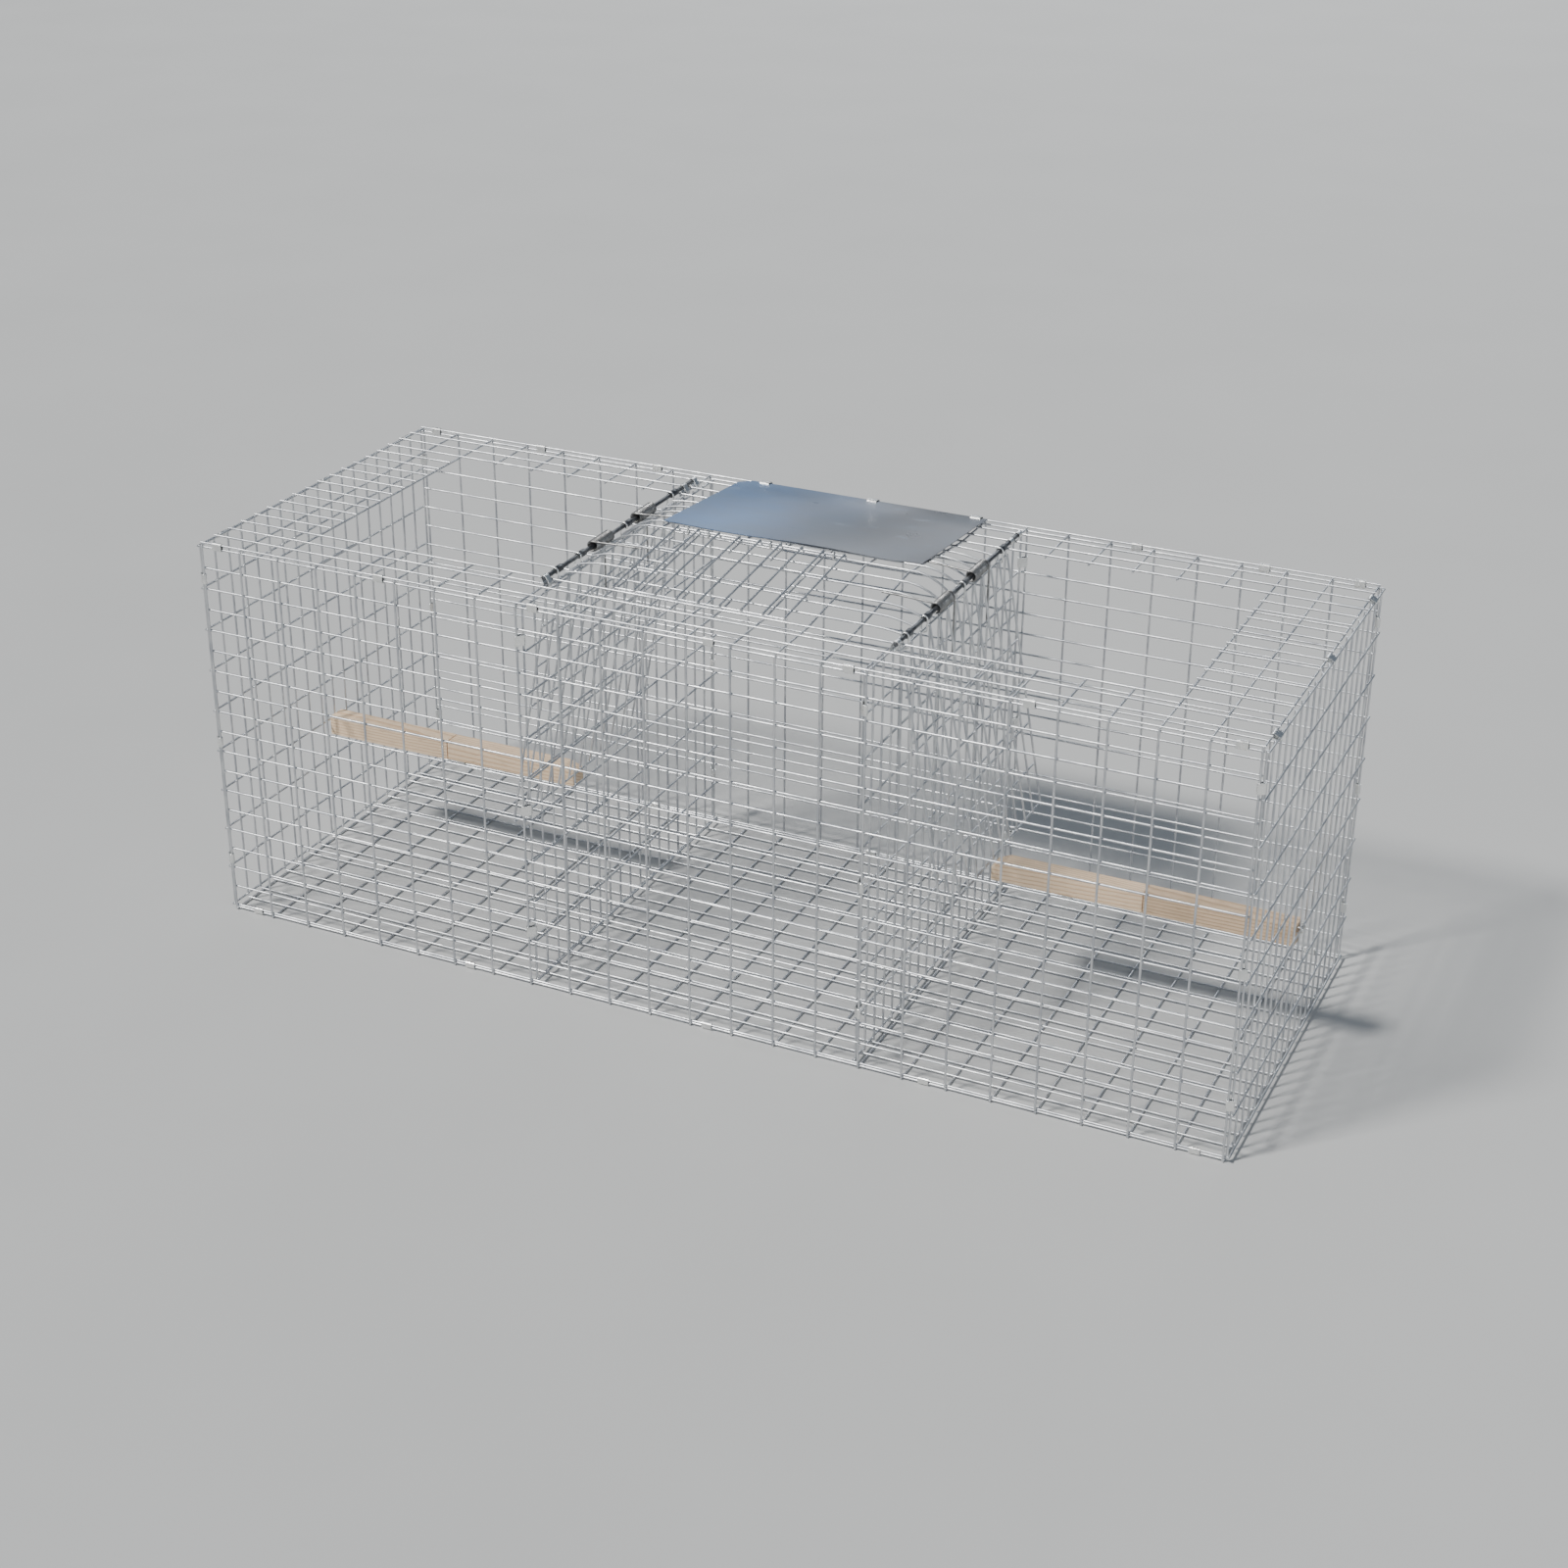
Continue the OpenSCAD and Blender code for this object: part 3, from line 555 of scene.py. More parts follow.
# %% [markdown]
# ## Hinge rings
# The rings are short lengths of soft wire bent round by hand, so they end as long round-cornered
# loops. A closed centre line and the same wire tree make them, in brighter zinc. The loops here
# are the frame's own links, drawn with a touch more unevenness.

# %% Rings
def link_line(matrix, gap, radius, steps=12):
    """A loop around two parallel wires that lie a gap apart along Z, in the YZ plane."""
    points = []
    for end in (0, 1):
        for i in range(steps + 1):
            angle = math.pi * (i / steps + 1 - end)
            points.append(matrix @ Vector((0, radius * math.cos(angle),
                                           end * gap + radius * math.sin(angle))))
    return points


ROD_R = 2.5 * MM
RING_WIRE, RING_IN_R, RING_PLAY = 2 * MM, 3 * MM, 0.3 * MM
HATCH_RING_WIRE, HATCH_RING_CELLS = 1.8 * MM, (-3.5, -2.5, 0.5, 3.5)
ring_rows = [STRIP + 0.5, STRIP + 2.5, CROWN + 0.7, FAR_STRIP - 0.8]
ring_top = rod_z - (RING_IN_R - ROD_R) + SEAT
ring_low = pin_z + (RING_IN_R - WIRE / 2) - RING_PLAY
ring_loops = [link_line(turned((rod_x, row(k), ring_low), z=90), ring_top - ring_low,
                        RING_IN_R + RING_WIRE / 2) for k in ring_rows]
for side, flip in BOTH_SIDES:
    loops = [[flip @ p for p in loop] for loop in ring_loops]
    rings = wire_piece(f"{side}_rings", loops, closed=True, finish=clip_zinc, diameter=RING_WIRE,
                       sides=14, sway=0.1 * MM, seed=51)
    place_piece(rings, "cage", "bright_zinc", f"{side}_hinge_rings")
hatch_loops = [link_line(on_hatch @ turned((i * CELL, 0, 0)), hatch_pin_up,
                         WIRE / 2 + HATCH_PLAY + HATCH_RING_WIRE / 2) for i in HATCH_RING_CELLS]
hatch_rings = wire_piece("hatch_rings", hatch_loops, closed=True, finish=clip_zinc,
                         diameter=HATCH_RING_WIRE, sides=14, sway=0.1 * MM, seed=52)
place_piece(hatch_rings, "cage", "bright_zinc", "hatch_hinge_rings")
print("rings:", 2 * len(ring_loops) + len(hatch_loops))

# %% [markdown]
# ## Springs
# Each door has two torsion springs wound on the hinge rod. A torsion spring is one wire: a leg
# that presses on the roof, close-wound turns, and an arm that pushes the door. The coil is a helix
# with a point for every 16 degrees or so. The arm is a second piece because it moves as the door
# does. It starts with a part turn of its own, so that no gap shows when it has turned.

# %% Springs
SPRING_WIRE, COIL_R, TURNS, PITCH = 2.2 * MM, 5.9 * MM, 13, 2.8 * MM
COIL_LEN, COIL_STEPS = TURNS * PITCH, 22
LEG_START, LEG_ARCH, LEG_LIFT = 3 * MM, 0.3 * MM, 0.4 * MM
ARM_START, ARM_SWEEP, ARM_STEPS = -70, 250, 26
ARM_GAP, ARM_BESIDE, ARM_BELOW = 1.1 * MM, 0.3 * MM, 2 * MM
ARM_FOOT = Vector((-0.4 * MM, 0, -4 * MM))


def on_coil(angle, y):
    return Vector((rod_x + COIL_R * math.cos(angle), y, rod_z + COIL_R * math.sin(angle)))


def spring_line(k, leg_len):
    """Leg over the roof, then the coil, at a row of the mesh."""
    y = row(k) - COIL_LEN / 2
    leg_z = roof_bar_z + BAR_R + SPRING_WIRE / 2 + LEG_LIFT + bow(rod_x + leg_len, y)
    top = on_coil(math.pi / 2, y) + Vector((LEG_START, 0, 0))
    tip = Vector((rod_x + leg_len, y, leg_z))
    middle = (top + tip) / 2 + Vector((0, 0, LEG_ARCH))
    coil = [on_coil(math.pi / 2 + math.tau * i / COIL_STEPS, y + PITCH * i / COIL_STEPS)
            for i in range(COIL_STEPS * TURNS + 1)]
    return straight(tip, middle, CELL / 3) + straight(middle, top, CELL / 3)[1:] + coil


def arm_line(k):
    """The last turn and the arm that reaches down the inside of the door."""
    y = row(k) + COIL_LEN / 2 + SPRING_WIRE + ARM_BESIDE
    arc = [on_coil(math.radians(ARM_START + ARM_SWEEP * i / ARM_STEPS), y)
           for i in range(ARM_STEPS + 1)]
    lean = math.radians(door_lean)
    reach = Vector((rod_x - LONG * math.sin(lean) + BAR_R + SPRING_WIRE / 2 + ARM_GAP, y,
                    pin_z - LONG * math.cos(lean) - ARM_BELOW))
    return arc + straight(arc[-1], reach, CELL / 3)[1:] + [reach + ARM_FOOT]


springs = {"front": (CROWN - 1.5, 62 * MM), "rear": (CROWN + 2.5, 59 * MM)}
for side, flip in BOTH_SIDES:
    for where, (k, leg_len) in springs.items():
        for part, line in (("spring", spring_line(k, leg_len)), ("spring_arm", arm_line(k))):
            node = f"{side}_{where}_{part}"
            made = wire_piece(node + "_wire", [[flip @ p for p in line]], finish=spring_steel,
                              diameter=SPRING_WIRE, sides=12, sway=0.0, seed=61)
            place_piece(made, body_of_node(node), "spring_steel", node)
print("springs have", TURNS, "turns over", round(COIL_LEN / MM, 1), "mm")

# %% [markdown]
# ## Rods and sleeves
# The rods are plain round bar with a small chamfer where they were cropped. The sleeves beside
# the rings are strip rolled round the rod, so they show a slit. Both are short lathe-like shapes,
# and a ring-by-ring loft in bmesh gives them chamfers without any modifier.

# %% Lofted bars
def loft(name, rings, finish):
    """Skins a list of point rings and caps both ends."""
    mesh = bmesh.new()
    made = [[mesh.verts.new(p) for p in ring] for ring in rings]
    count = len(rings[0])
    for low, high in zip(made, made[1:]):
        for i in range(count):
            j = (i + 1) % count
            mesh.faces.new((low[i], low[j], high[j], high[i]))
    mesh.faces.new(made[0])
    mesh.faces.new(made[-1])
    bmesh.ops.recalc_face_normals(mesh, faces=mesh.faces)
    data = bpy.data.meshes.new(name)
    mesh.to_mesh(data)
    mesh.free()
    for face in data.polygons:
        face.use_smooth = len(face.vertices) == 4
    data.materials.append(finish)
    return link(name, data)


def lathe_rings(profile, x, z, sides=32):
    """Circles along Y for (y, radius) pairs, about the line through x and z."""
    turns = [math.tau * i / sides for i in range(sides)]
    return [[Vector((x + r * math.cos(a), y, z + r * math.sin(a))) for a in turns]
            for y, r in profile]


CROP, ROD_PARTS = 0.5 * MM, 24
rod_low, rod_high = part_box("left_hinge_rod")
straight_len = rod_high.y - rod_low.y - 2 * CROP
profile = [(rod_low.y, ROD_R - CROP)]
profile += [(rod_low.y + CROP + straight_len * i / ROD_PARTS, ROD_R)
            for i in range(ROD_PARTS + 1)]
profile.append((rod_high.y, ROD_R - CROP))
for side, x in (("left", rod_x), ("right", -rod_x)):
    rod = loft(f"{side}_rod", lathe_rings(profile, x, rod_z), rod_steel)
    place_piece(rod, "cage", "dark_rod_steel", f"{side}_hinge_rod")
print("rods are", round((rod_high.y - rod_low.y) / MM), "mm long")

# %% Rolled sleeves
SLEEVE_LEN, SLEEVE_WALL, SLEEVE_GAP = 13 * MM, 1.5 * MM, 0.6 * MM
SLEEVE_PLAY, SLEEVE_ROUND = 0.05 * MM, 0.35 * MM
SLIT, FIRST_SLIT_AT, NEXT_SLIT = (math.radians(a) for a in (24, 200, 35))


def sleeve_section(y, inner, outer, x, side, slit_at, steps=26):
    """A C-shaped outline round the rod, inner wall and outer wall in one closed ring."""
    sweep = [slit_at + SLIT / 2 + (math.tau - SLIT) * i / steps for i in range(steps + 1)]
    walls = [(outer, a) for a in sweep] + [(inner, a) for a in reversed(sweep)]
    return [Vector((x + side * r * math.cos(a), y, rod_z + r * math.sin(a))) for r, a in walls]


def sleeves(side_name, x, side):
    inner, outer, round_off = ROD_R + SLEEVE_PLAY, ROD_R + SLEEVE_WALL, SLEEVE_ROUND
    made = []
    for n, k in enumerate(ring_rows):
        y = row(k) + RING_WIRE / 2 + SLEEVE_GAP
        slit_at = FIRST_SLIT_AT + NEXT_SLIT * n
        stations = [(0, -round_off), (round_off, 0), (SLEEVE_LEN - round_off, 0),
                    (SLEEVE_LEN, -round_off)]
        rings = [sleeve_section(y + dy, inner, outer + dr, x, side, slit_at)
                 for dy, dr in stations]
        made.append(loft(f"{side_name}_sleeve_{n}", rings, rod_steel))
    return made


def joined(pieces, name):
    """Joins mesh objects into one piece."""
    with bpy.context.temp_override(active_object=pieces[0], selected_editable_objects=pieces):
        bpy.ops.object.join()
    pieces[0].name = pieces[0].data.name = name
    return pieces[0]


for side, x, flip in (("left", rod_x, 1), ("right", -rod_x, -1)):
    tubes = joined(sleeves(side, x, flip), f"{side}_sleeves")
    place_piece(tubes, "cage", "dark_rod_steel", f"{side}_rod_sleeves")
print("sleeves:", 2 * len(ring_rows))

# %% [markdown]
# ## Mesh clips
# Panels are held together with J-clips: strips of bright sheet closed round two wires with pliers.
# One end laps over the other. Each group of clips joins wires at one spacing, so each gets one
# model clip, and a second tree copies it to a set of points that carry their own turn. The tree
# also turns each clip by up to a degree about its wire, as hand work does.

# %% One clip
CLIP_LEN, CLIP_T, CLIP_STEPS = 12 * MM, 0.9 * MM, 9
CLIP_NIP, LAP_START, LAP_END, LAP_LIFT = 0.12 * MM, 0.405, 0.75, 0.18 * CLIP_T


def clip_model(gap, inner, width):
    """A strip closed round two wires a gap apart along X, with a lapped end, as a mesh object."""
    bends = [(end, math.pi * (0.5 + end + i / CLIP_STEPS))
             for end in (0, 1) for i in range(CLIP_STEPS + 1)]
    path = [Vector((end * gap + inner * math.cos(a), inner * math.sin(a))) for end, a in bends]
    path = [path[0] + Vector((gap * LAP_START, 0)), *path, path[-1].lerp(path[0], LAP_END)]
    half, nip, rings = width / 2, CLIP_NIP, []
    outline = [(0, nip - half), (nip, -half), (CLIP_T - nip, -half), (CLIP_T, nip - half),
               (CLIP_T, half - nip), (CLIP_T - nip, half), (nip, half), (0, half - nip)]
    for before, here, after in zip(path[:1] + path, path, path[1:] + path[-1:]):
        along = (after - before).normalized()
        outward = Vector((along.y, -along.x))
        lift = LAP_LIFT if here is path[-1] else 0.0
        rings.append([Vector((*(here + outward * (t + lift)), w)) for t, w in outline])
    return loft("clip_model", rings, clip_zinc)


def clip_tree():
    tree, identifiers, make = start_tree("clips_on_points", {
        "Places": "Geometry", "Clip": "Object", "Slack": "Float", "Seed": "Int",
        "Finish": "Material"})
    given = make("NodeGroupInput").outputs
    model = make("GeometryNodeObjectInfo", None, {"Object": given["Clip"]})
    turn = make("GeometryNodeInputNamedAttribute", {"data_type": "FLOAT_VECTOR"}, {"Name": "turn"})
    less = make("ShaderNodeMath", {"operation": "MULTIPLY"}, {0: given["Slack"], 1: -1.0})
    play = make("FunctionNodeRandomValue", {"data_type": "FLOAT"},
                {2: less.outputs[0], 3: given["Slack"], "Seed": given["Seed"]})
    own = make("FunctionNodeEulerToRotation", None, {0: turn.outputs[0]})
    extra = make("ShaderNodeCombineXYZ", None, {2: play.outputs["Value"]})
    extra_turn = make("FunctionNodeEulerToRotation", None, {0: extra.outputs[0]})
    full = make("FunctionNodeRotateRotation", {"rotation_space": "LOCAL"},
                {0: own.outputs[0], 1: extra_turn.outputs[0]})
    copies = make("GeometryNodeInstanceOnPoints", None,
                  {"Points": given["Places"], "Instance": model.outputs["Geometry"],
                   "Rotation": full.outputs[0]})
    end_tree(make, copies.outputs[0], given["Finish"])
    return tree, identifiers


clip_group, clip_inputs = clip_tree()
print("clip tree:", len(clip_group.nodes), "nodes")

# %% [markdown]
# ## Where the clips go
# A clip's place is given by the two wires it holds and the way they run. From those three vectors
# comes a rotation, which is stored on the point as an attribute for the tree to read.

# %% Clip groups
SLACK, CLIP_PLAY = 0.02, 0.15 * MM
ROD_CLIP_LEN, ROD_CLIP_PLAY = 8 * MM, 0.35 * MM


def clip_group_piece(name, pairs, seed, inner=BAR_R + CLIP_PLAY, width=CLIP_LEN):
    """One piece of clips from (wire point, other wire point, wire direction) triples."""
    points, turns = [], []
    for one, other, along in pairs:
        u = (Vector(other) - Vector(one)).normalized()
        along = Vector(along)
        basis = Matrix((u, along.cross(u), along)).transposed()
        points.append(Vector(one))
        turns.append(basis.to_euler())
    gap = (Vector(pairs[0][1]) - Vector(pairs[0][0])).length
    model = clip_model(gap, inner, width)
    mesh = bpy.data.meshes.new(name + "_places")
    mesh.from_pydata(points, [], [])
    flat = [v for turn in turns for v in turn]
    mesh.attributes.new("turn", "FLOAT_VECTOR", "POINT").data.foreach_set("vector", flat)
    values = {"Clip": model, "Slack": SLACK, "Seed": seed, "Finish": clip_zinc}
    piece = grown(link(name + "_source", mesh), clip_group, clip_inputs, values, name)
    bpy.data.objects.remove(model)
    for face in piece.data.polygons:
        face.use_smooth = False
    place_piece(piece, "cage", "bright_zinc", name)


back_y = row(ROWS)
front_columns = (0.4, 4.6, 8.4, 12.5, 15.6, 19.4, 23.6)
back_columns = (0.4, 3.4, 6.6, 18.6, 21.5, 23.6)
floor_columns = (0.6, 6.4, 12.4, 17.5, 23.4)
side_levels = (1.25, 4.25, 8.25)
ALONG_X, ALONG_Y, ALONG_Z = (1, 0, 0), (0, 1, 0), (0, 0, 1)
corners = [(sx, sy, wall_z + j * LONG) for sx in (-1, 1) for sy in (-1, 1) for j in side_levels]
clip_places = {
    "front_top_clips": [((col(i), row(0), wall_top_z), (col(i), row(0), roof_line_z), ALONG_X)
                        for i in front_columns],
    "back_top_clips": [((col(i), back_y, wall_top_z), (col(i), back_y, roof_line_z), ALONG_X)
                       for i in back_columns],
    "front_floor_clips": [((col(i), row(0), floor_line_z), (col(i), row(0), wall_z), ALONG_X)
                          for i in floor_columns],
    "back_floor_clips": [((col(i), back_y, floor_line_z), (col(i), back_y, wall_z), ALONG_X)
                         for i in floor_columns],
    "corner_clips": [((sx * HALF_LEN, sy * (back_y + LAY), z), (sx * -end_x, sy * back_y, z),
                      ALONG_Z) for sx, sy, z in corners],
    "end_roof_clips": [((sx * HALF_LEN, row(k), roof_bar_z),
                        (sx * (LAY - end_x), row(k), wall_top_z), ALONG_Y)
                       for sx in (-1, 1) for k in (1.5, CROWN + 0.5, ROWS - 1.5)],
    "partition_clips": [((sx * -col(BAY), sy * (back_y + LAY), z),
                         (sx * -partition_x, sy * -partition_y, z), ALONG_Z)
                        for sx, sy, z in corners],
}
for seed, (name, pairs) in enumerate(clip_places.items()):
    clip_group_piece(name, pairs, seed)
rod_clip_rows = (STRIP - 0.32, FAR_STRIP + 0.5, FAR_STRIP + 1.5)
for side, flip in (("left", 1), ("right", -1)):
    pairs = [((flip * col(BAY), row(k), roof_bar_z), (flip * rod_x, row(k), rod_z), ALONG_Y)
             for k in rod_clip_rows]
    clip_group_piece(f"{side}_rod_clips", pairs, 17, ROD_R + ROD_CLIP_PLAY, ROD_CLIP_LEN)
print("clips placed in", len(clip_places) + 2, "groups")

# %% [markdown]
# ## The shade plate
# A thin sheet gives the decoy bird shade. It was cut with snips, so one corner is clipped off and
# another is notched, and it has slots for its clips. Handling has left it slightly uneven. The
# frame's plate has the right outline, so a copy of it is merged, sliced into small faces along
# both directions and lifted by two soft waves that fade out at the clips.

# %% Plate
plate_low, plate_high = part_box("shade_plate")


def sliced_copy(node, name, step):
    """A merged copy of a frame node, cut by planes a step apart along X and Y."""
    mesh = bmesh.new()
    mesh.from_mesh(frame["nodes"][node].data)
    bmesh.ops.remove_doubles(mesh, verts=mesh.verts, dist=0.01 * MM)
    bmesh.ops.dissolve_limit(mesh, angle_limit=math.radians(1), verts=mesh.verts,
                             edges=mesh.edges)
    low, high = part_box(node)
    for axis in (0, 1):
        normal = [0, 0, 0]
        normal[axis] = 1
        for i in range(1, int((high[axis] - low[axis]) / step) + 1):
            at = [0, 0, 0]
            at[axis] = low[axis] + i * step
            geometry = mesh.verts[:] + mesh.edges[:] + mesh.faces[:]
            bmesh.ops.bisect_plane(mesh, geom=geometry, plane_co=at, plane_no=normal)
    data = bpy.data.meshes.new(name)
    mesh.to_mesh(data)
    mesh.free()
    return link(name, data)


PLATE_STEP, BUCKLE, STILL_EDGE = 11 * MM, 0.9 * MM, 40 * MM
WAVE_X, WAVE_Y, TWIST_X, TWIST_Y = 31, 17, 13, 23
plate = sliced_copy("shade_plate", "plate_sheet", PLATE_STEP)
for vertex in plate.data.vertices:
    x, y = vertex.co.x, vertex.co.y
    fade = min(1.0, (plate_high.y - y) / STILL_EDGE)
    wave = math.sin(x * WAVE_X + 0.8) * math.cos(y * WAVE_Y)
    wave += 0.5 * math.sin(x * TWIST_X + y * TWIST_Y)
    vertex.co.z += BUCKLE * fade * (wave + 0.4)


def plate_finish():
    """Soft-mirror sheet, faintly spotted; a painted reflection makes it blue at one end, greyer at the other."""
    made = Finish("coated_sheet")
    end_to_end = made.value("ShaderNodeSeparateXYZ", inputs={0: made.place})
    drift = made.noise(7, 3.0, 0.5, distortion=0.4)
    # Painted reflection: this mask takes the sheet from reflected blue at one end to grey at the other.
    painted_reflection_fade = (end_to_end + drift * 0.16).above(-0.04, 0.16)
    clouds = made.noise(24, 4.0, 0.6, place=made.at(scale=(0.6, 1, 1), turn=(0, 0, 0.3)))
    spots = made.noise(46, 3.0, 0.5, place=made.at(scale=(0.55, 1, 1))).above(0.63, 0.74)
    scratches = made.noise(700, 2.0, 0.5, place=made.at(scale=(0.02, 1, 1), turn=(0, 0, 0.35)))
    marks = scratches.above(0.60, 0.70)
    # The blue end is a painted reflection of the sky; the grey end is the sheet's own tone.
    tone = made.blend(painted_reflection_fade, (0.10, 0.185, 0.34, 1), (0.15, 0.155, 0.17, 1))
    tone = made.blend(clouds.above(0.35, 0.75) * 0.4, tone, (0.15, 0.18, 0.22, 1))
    tone = made.blend(spots * 0.4, tone, (0.27, 0.33, 0.41, 1))
    return made.coat(
        Base_Color=tone, Metallic=0.75 - spots * 0.2,
        Roughness=0.24 + clouds * 0.10 + spots * 0.14 + marks * 0.04,
        Normal=made.relief(spots * 0.25 + marks * 0.12 + clouds * 0.6, 0.12 * MM))


plate.data.materials.clear()
plate.data.materials.append(plate_finish())
for face in plate.data.polygons:
    face.use_smooth = abs(face.normal.z) > 0.9
place_piece(plate, "cage", "coated_sheet", "shade_plate")
print("plate faces:", len(plate.data.polygons))

# %% Plate clips
plate_w = plate_high.x - plate_low.x
wire_end_z, seat_z = roof_line_z + 0.4 * MM, roof_line_z + BAR_R + 0.1 * MM
clip_reach, clip_r, from_left, from_right = 5.6 * MM, 2.3 * MM, 30 * MM, 14 * MM
pairs = [((x, back_y, wire_end_z), (x, back_y - clip_reach, seat_z), ALONG_X)
         for x in (from_left - plate_w / 2, CELL / 2, plate_w / 2 - from_right)]
clip_group_piece("shade_plate_clips", pairs, 23, clip_r)
print("plate", round(plate_w / MM), "mm wide, held by", len(pairs), "clips")

# %% [markdown]
# ## Perches
# Each perch is a length of planed softwood batten, sawn in two. The outer half is stapled to the
# end wall and the inner half drops. Softwood has a broad pale band and a thin dark one for every
# year. A batten is sawn from a log, so the rings are drawn as cylinders round a line that runs
# well to the side of the batten, slightly askew. Its long faces then show grain lines and its ends
# show arcs, and both come from one pattern. Fibres, pores and stains add the finer scale.

# %% Pine
RINGS_PER_M = 260


def pine(name, heart, tint, stain_amount):
    """Growth rings round a heart line, in Object coordinates; tint is pale wood, dark wood."""
    made = Finish(name)
    pale, dark = tint
    wobble = made.noise(5, 2.0, 0.5, place=made.at(scale=(0.5, 3, 3)))
    split = made.node("ShaderNodeSeparateXYZ", inputs={0: made.at(location=heart,
                                                                 turn=(0.02, 0.015, 0.03))})
    across_y, across_z = Value(made, split.outputs[1]), Value(made, split.outputs[2])
    radius = ((across_y * across_y + across_z * across_z) ** 0.5) * RINGS_PER_M + wobble * 2.2
    ring = radius.math("FRACT")
    late_wood = ring.above(0.45, 0.92) * (1 - ring.above(0.93, 0.99))
    fibres = made.noise(1500, 3.0, 0.6, place=made.at(scale=(0.03, 1, 1)))
    pores = made.noise(900, 2.0, 0.6, place=made.at(scale=(0.08, 1, 1))).above(0.62, 0.72)
    stains = made.noise(16, 4.0, 0.6, place=made.at(scale=(0.7, 2, 2))).above(0.42, 0.72)
    tone = made.blend(late_wood * 0.75 + fibres * 0.2, (*pale, 1), (*dark, 1))
    tone = made.blend(stains * stain_amount, tone, (0.30, 0.22, 0.14, 1))
    tone = made.blend(pores * 0.35, tone, (0.24, 0.15, 0.08, 1))
    return made.coat(
        Base_Color=tone, Roughness=0.58 + late_wood * -0.1 + stains * 0.15,
        Normal=made.relief(late_wood * 0.6 + fibres * 0.5 - pores * 0.6, 0.35 * MM, 0.8))


fresh = ((0.88, 0.68, 0.48), (0.64, 0.41, 0.23))
# A darker tint, used with more stains on the right perch's outer half.
darker_tint = ((0.70, 0.52, 0.35), (0.42, 0.27, 0.16))
pine_finishes = {
    "left_perch_fixed_half": pine("pine_pale", (0, 0.03, -0.21), fresh, 0.12),
    "left_perch_treadle": pine("pine_pale_inner", (0, -0.02, -0.20), fresh, 0.18),
    "right_perch_treadle": pine("pine_warm", (0, 0.04, -0.19), fresh, 0.20),
    "right_perch_fixed_half": pine("pine_darker", (0, 0.01, -0.22), darker_tint, 0.45),
}
print("pine finishes:", list(pine_finishes))

# %% [markdown]
# ## Shaping the battens
# The frame has each half as a sharp prism, one of them with a long bevel where the door rests. A
# merged copy takes rounded edges from a Bevel modifier, which is applied at once. A few slices
# along its length let a slight bow and some unevenness into the faces.

# %% Battens
BATTEN_STEP, ROUNDING, SIDE_BOW = 12 * MM, 1.1 * MM, 0.5 * MM
UNEVEN, UNEVEN_WAVE = 0.12 * MM, 190


def batten(node, finish, seed):
    piece = sliced_copy(node, node + "_wood", BATTEN_STEP)
    bevel = piece.modifiers.new("edges", "BEVEL")
    bevel.width, bevel.segments, bevel.limit_method = ROUNDING, 3, "ANGLE"
    bevel.angle_limit = math.radians(20)
    rounded = applied(piece, node + "_wood")
    rng = random.Random(seed)
    low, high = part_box(node)
    phase = rng.uniform(0, math.tau)
    for vertex in rounded.data.vertices:
        u = (vertex.co.x - low.x) / (high.x - low.x)
        vertex.co.y += SIDE_BOW * math.sin(math.pi * u) * math.sin(phase)
        for axis in (1, 2):
            angle = vertex.co.x * UNEVEN_WAVE + phase + axis * 2 + u * 5
            vertex.co[axis] += UNEVEN * math.sin(angle)
    rounded.data.materials.clear()
    rounded.data.materials.append(finish)
    for face in rounded.data.polygons:
        face.use_smooth = False
    return place_piece(rounded, body_of_node(node), "pine", node)


for seed, (node, finish) in enumerate(pine_finishes.items()):
    wood = batten(node, finish, seed)
    print(node, len(wood.data.polygons), "faces")

# %% [markdown]
# ## Staples and leaf hinges
# Small hardware keeps the frame's own shapes, which are already right, and takes the clip zinc.
# The frame's meshes are left exactly as they are: only their material slots change.

# %% Hardware that keeps its frame shape
hardware = [n for n in frame["nodes"] if "leaf" in n or "staples" in n]
for node in hardware:
    slots = frame["nodes"][node].data.materials
    slots.clear()
    slots.append(clip_zinc)
print("kept from the frame:", hardware)

# %% [markdown]
# ## A plain floor, soft light and the camera
# The trap is all thin shiny lines, so the light matters more than for a solid thing. A wide soft
# sun from the front left draws a bright line along each wire. Two weaker lights, one at the right
# and one behind, keep the far sides from going black. The floor is pale and quiet. The world's
# dim blue light suits the metal but makes a dark backdrop, so the camera sees a pale wall instead.

# %% Floor
def floor_finish():
    made = Finish("studio_floor")
    mottle = made.noise(3, 3.0, 0.5)
    tone = made.blend(mottle, (0.49, 0.495, 0.49, 1), (0.53, 0.535, 0.53, 1))
    return made.coat(Base_Color=tone, Roughness=0.75 + mottle * 0.1)


FLOOR_HALF = 40.0
corner_points = [(x * FLOOR_HALF, y * FLOOR_HALF, 0)
                 for x, y in ((-1, -1), (1, -1), (1, 1), (-1, 1))]
floor_mesh = bpy.data.meshes.new("studio_floor")
floor_mesh.from_pydata(corner_points, [], [(0, 1, 2, 3)])
floor_mesh.materials.append(floor_finish())
studio_floor = link("studio_floor", floor_mesh)
print("floor", 2 * FLOOR_HALF, "m wide")


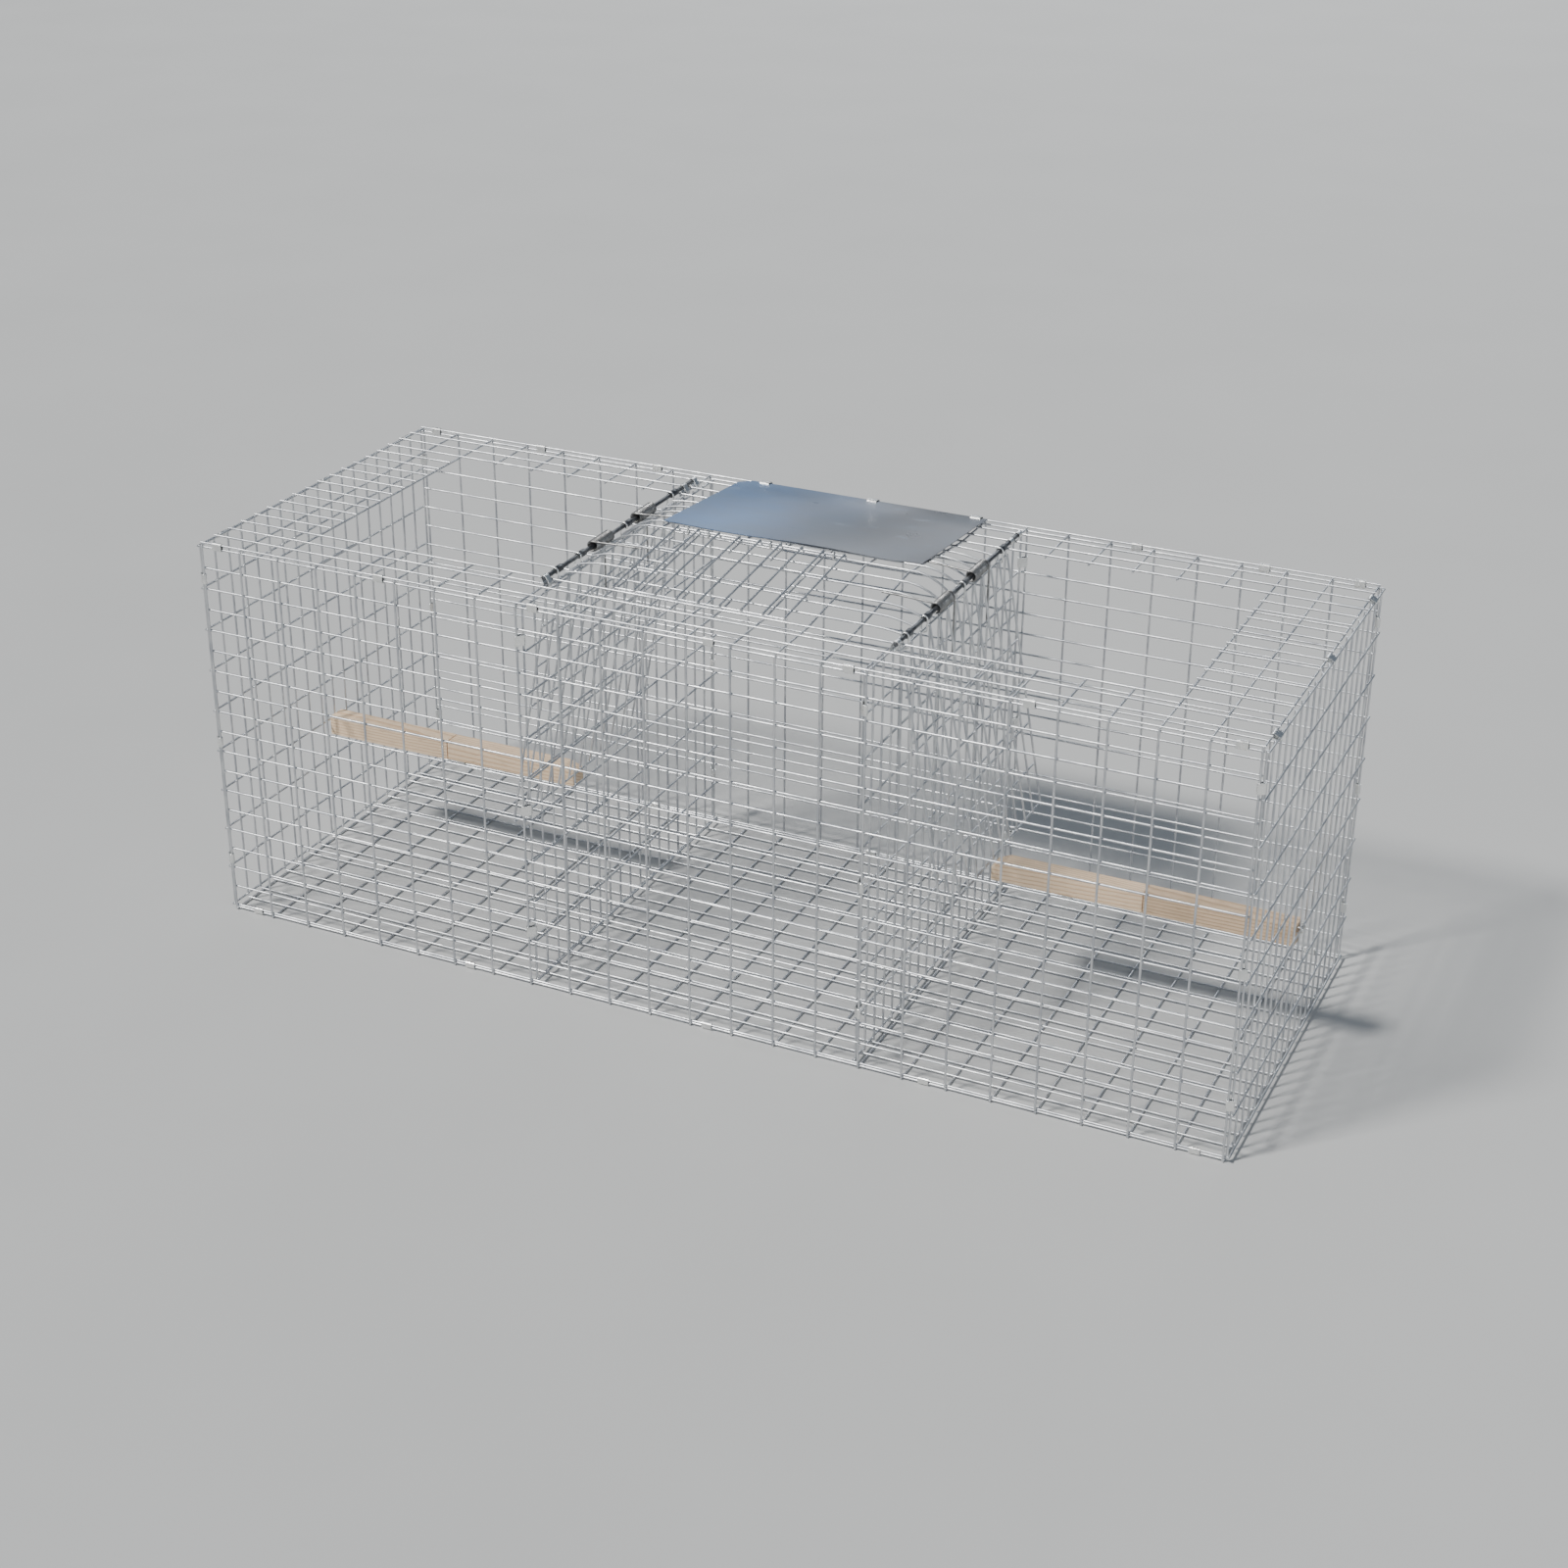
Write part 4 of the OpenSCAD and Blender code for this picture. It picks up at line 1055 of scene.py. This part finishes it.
# %% Lights
def soft_light(name, place, aim, size, watts, colour):
    lamp = bpy.data.lights.new(name, "AREA")
    lamp.shape, lamp.size, lamp.size_y = "RECTANGLE", *size
    lamp.energy, lamp.color = watts, colour
    made = link(name, lamp)
    made.location = place
    made.rotation_euler = (Vector(aim) - Vector(place)).to_track_quat("-Z", "Y").to_euler()


def soft_sun(name, toward, spread, strength, colour):
    """A far lamp, some degrees wide, so that its light is the same all over the floor."""
    lamp = bpy.data.lights.new(name, "SUN")
    lamp.angle, lamp.energy, lamp.color = math.radians(spread), strength, colour
    link(name, lamp).rotation_euler = Vector(toward).to_track_quat("Z", "Y").to_euler()


MIDDLE, WARM, COOL = (0, 0, 0.22), (1.0, 0.98, 0.95), (0.92, 0.96, 1.0)
soft_sun("key", toward=(-0.40, -0.50, 0.77), spread=9, strength=4.3, colour=WARM)
soft_light("fill", place=(6.4, -4.2, 2.6), aim=MIDDLE, size=(4.0, 2.6), watts=150, colour=COOL)
soft_light("rim", place=(-2.2, 9.0, 4.6), aim=MIDDLE, size=(6.0, 2.2), watts=170, colour=COOL)
DIM_SKY, PALE_WALL = (0.136, 0.163, 0.202, 1), (0.60, 0.61, 0.605, 1)
world = bpy.data.worlds.new("studio")
world.use_nodes = True
sky = world.node_tree
seen = tree_node(sky, "ShaderNodeLightPath").outputs["Is Camera Ray"]
tone = tree_node(sky, "ShaderNodeMix", {"data_type": "RGBA"},
                 {"Factor": seen, 6: DIM_SKY, 7: PALE_WALL}).outputs[2]
feed(sky, sky.nodes["Background"].inputs["Color"], tone)
bpy.context.scene.world = world

# %% Camera
CAMERA_PLACE = Vector((1.1204, -2.3888, 1.4909))
RIGHT = Vector((0.90468, 0.42604, 0.00701))
FORWARD = Vector((-0.37976, 0.81365, -0.44017))
FOCAL_MM, SENSOR_MM = 58.68, 36
up = RIGHT.cross(FORWARD)
lens = bpy.data.cameras.new("view")
lens.lens, lens.sensor_width = FOCAL_MM, SENSOR_MM
camera = link("view", lens)
camera.matrix_world = (Matrix.Translation(CAMERA_PLACE)
                       @ Matrix((RIGHT, up, -FORWARD)).transposed().to_4x4())
bpy.context.scene.camera = camera
print("camera at", [round(v, 3) for v in CAMERA_PLACE])
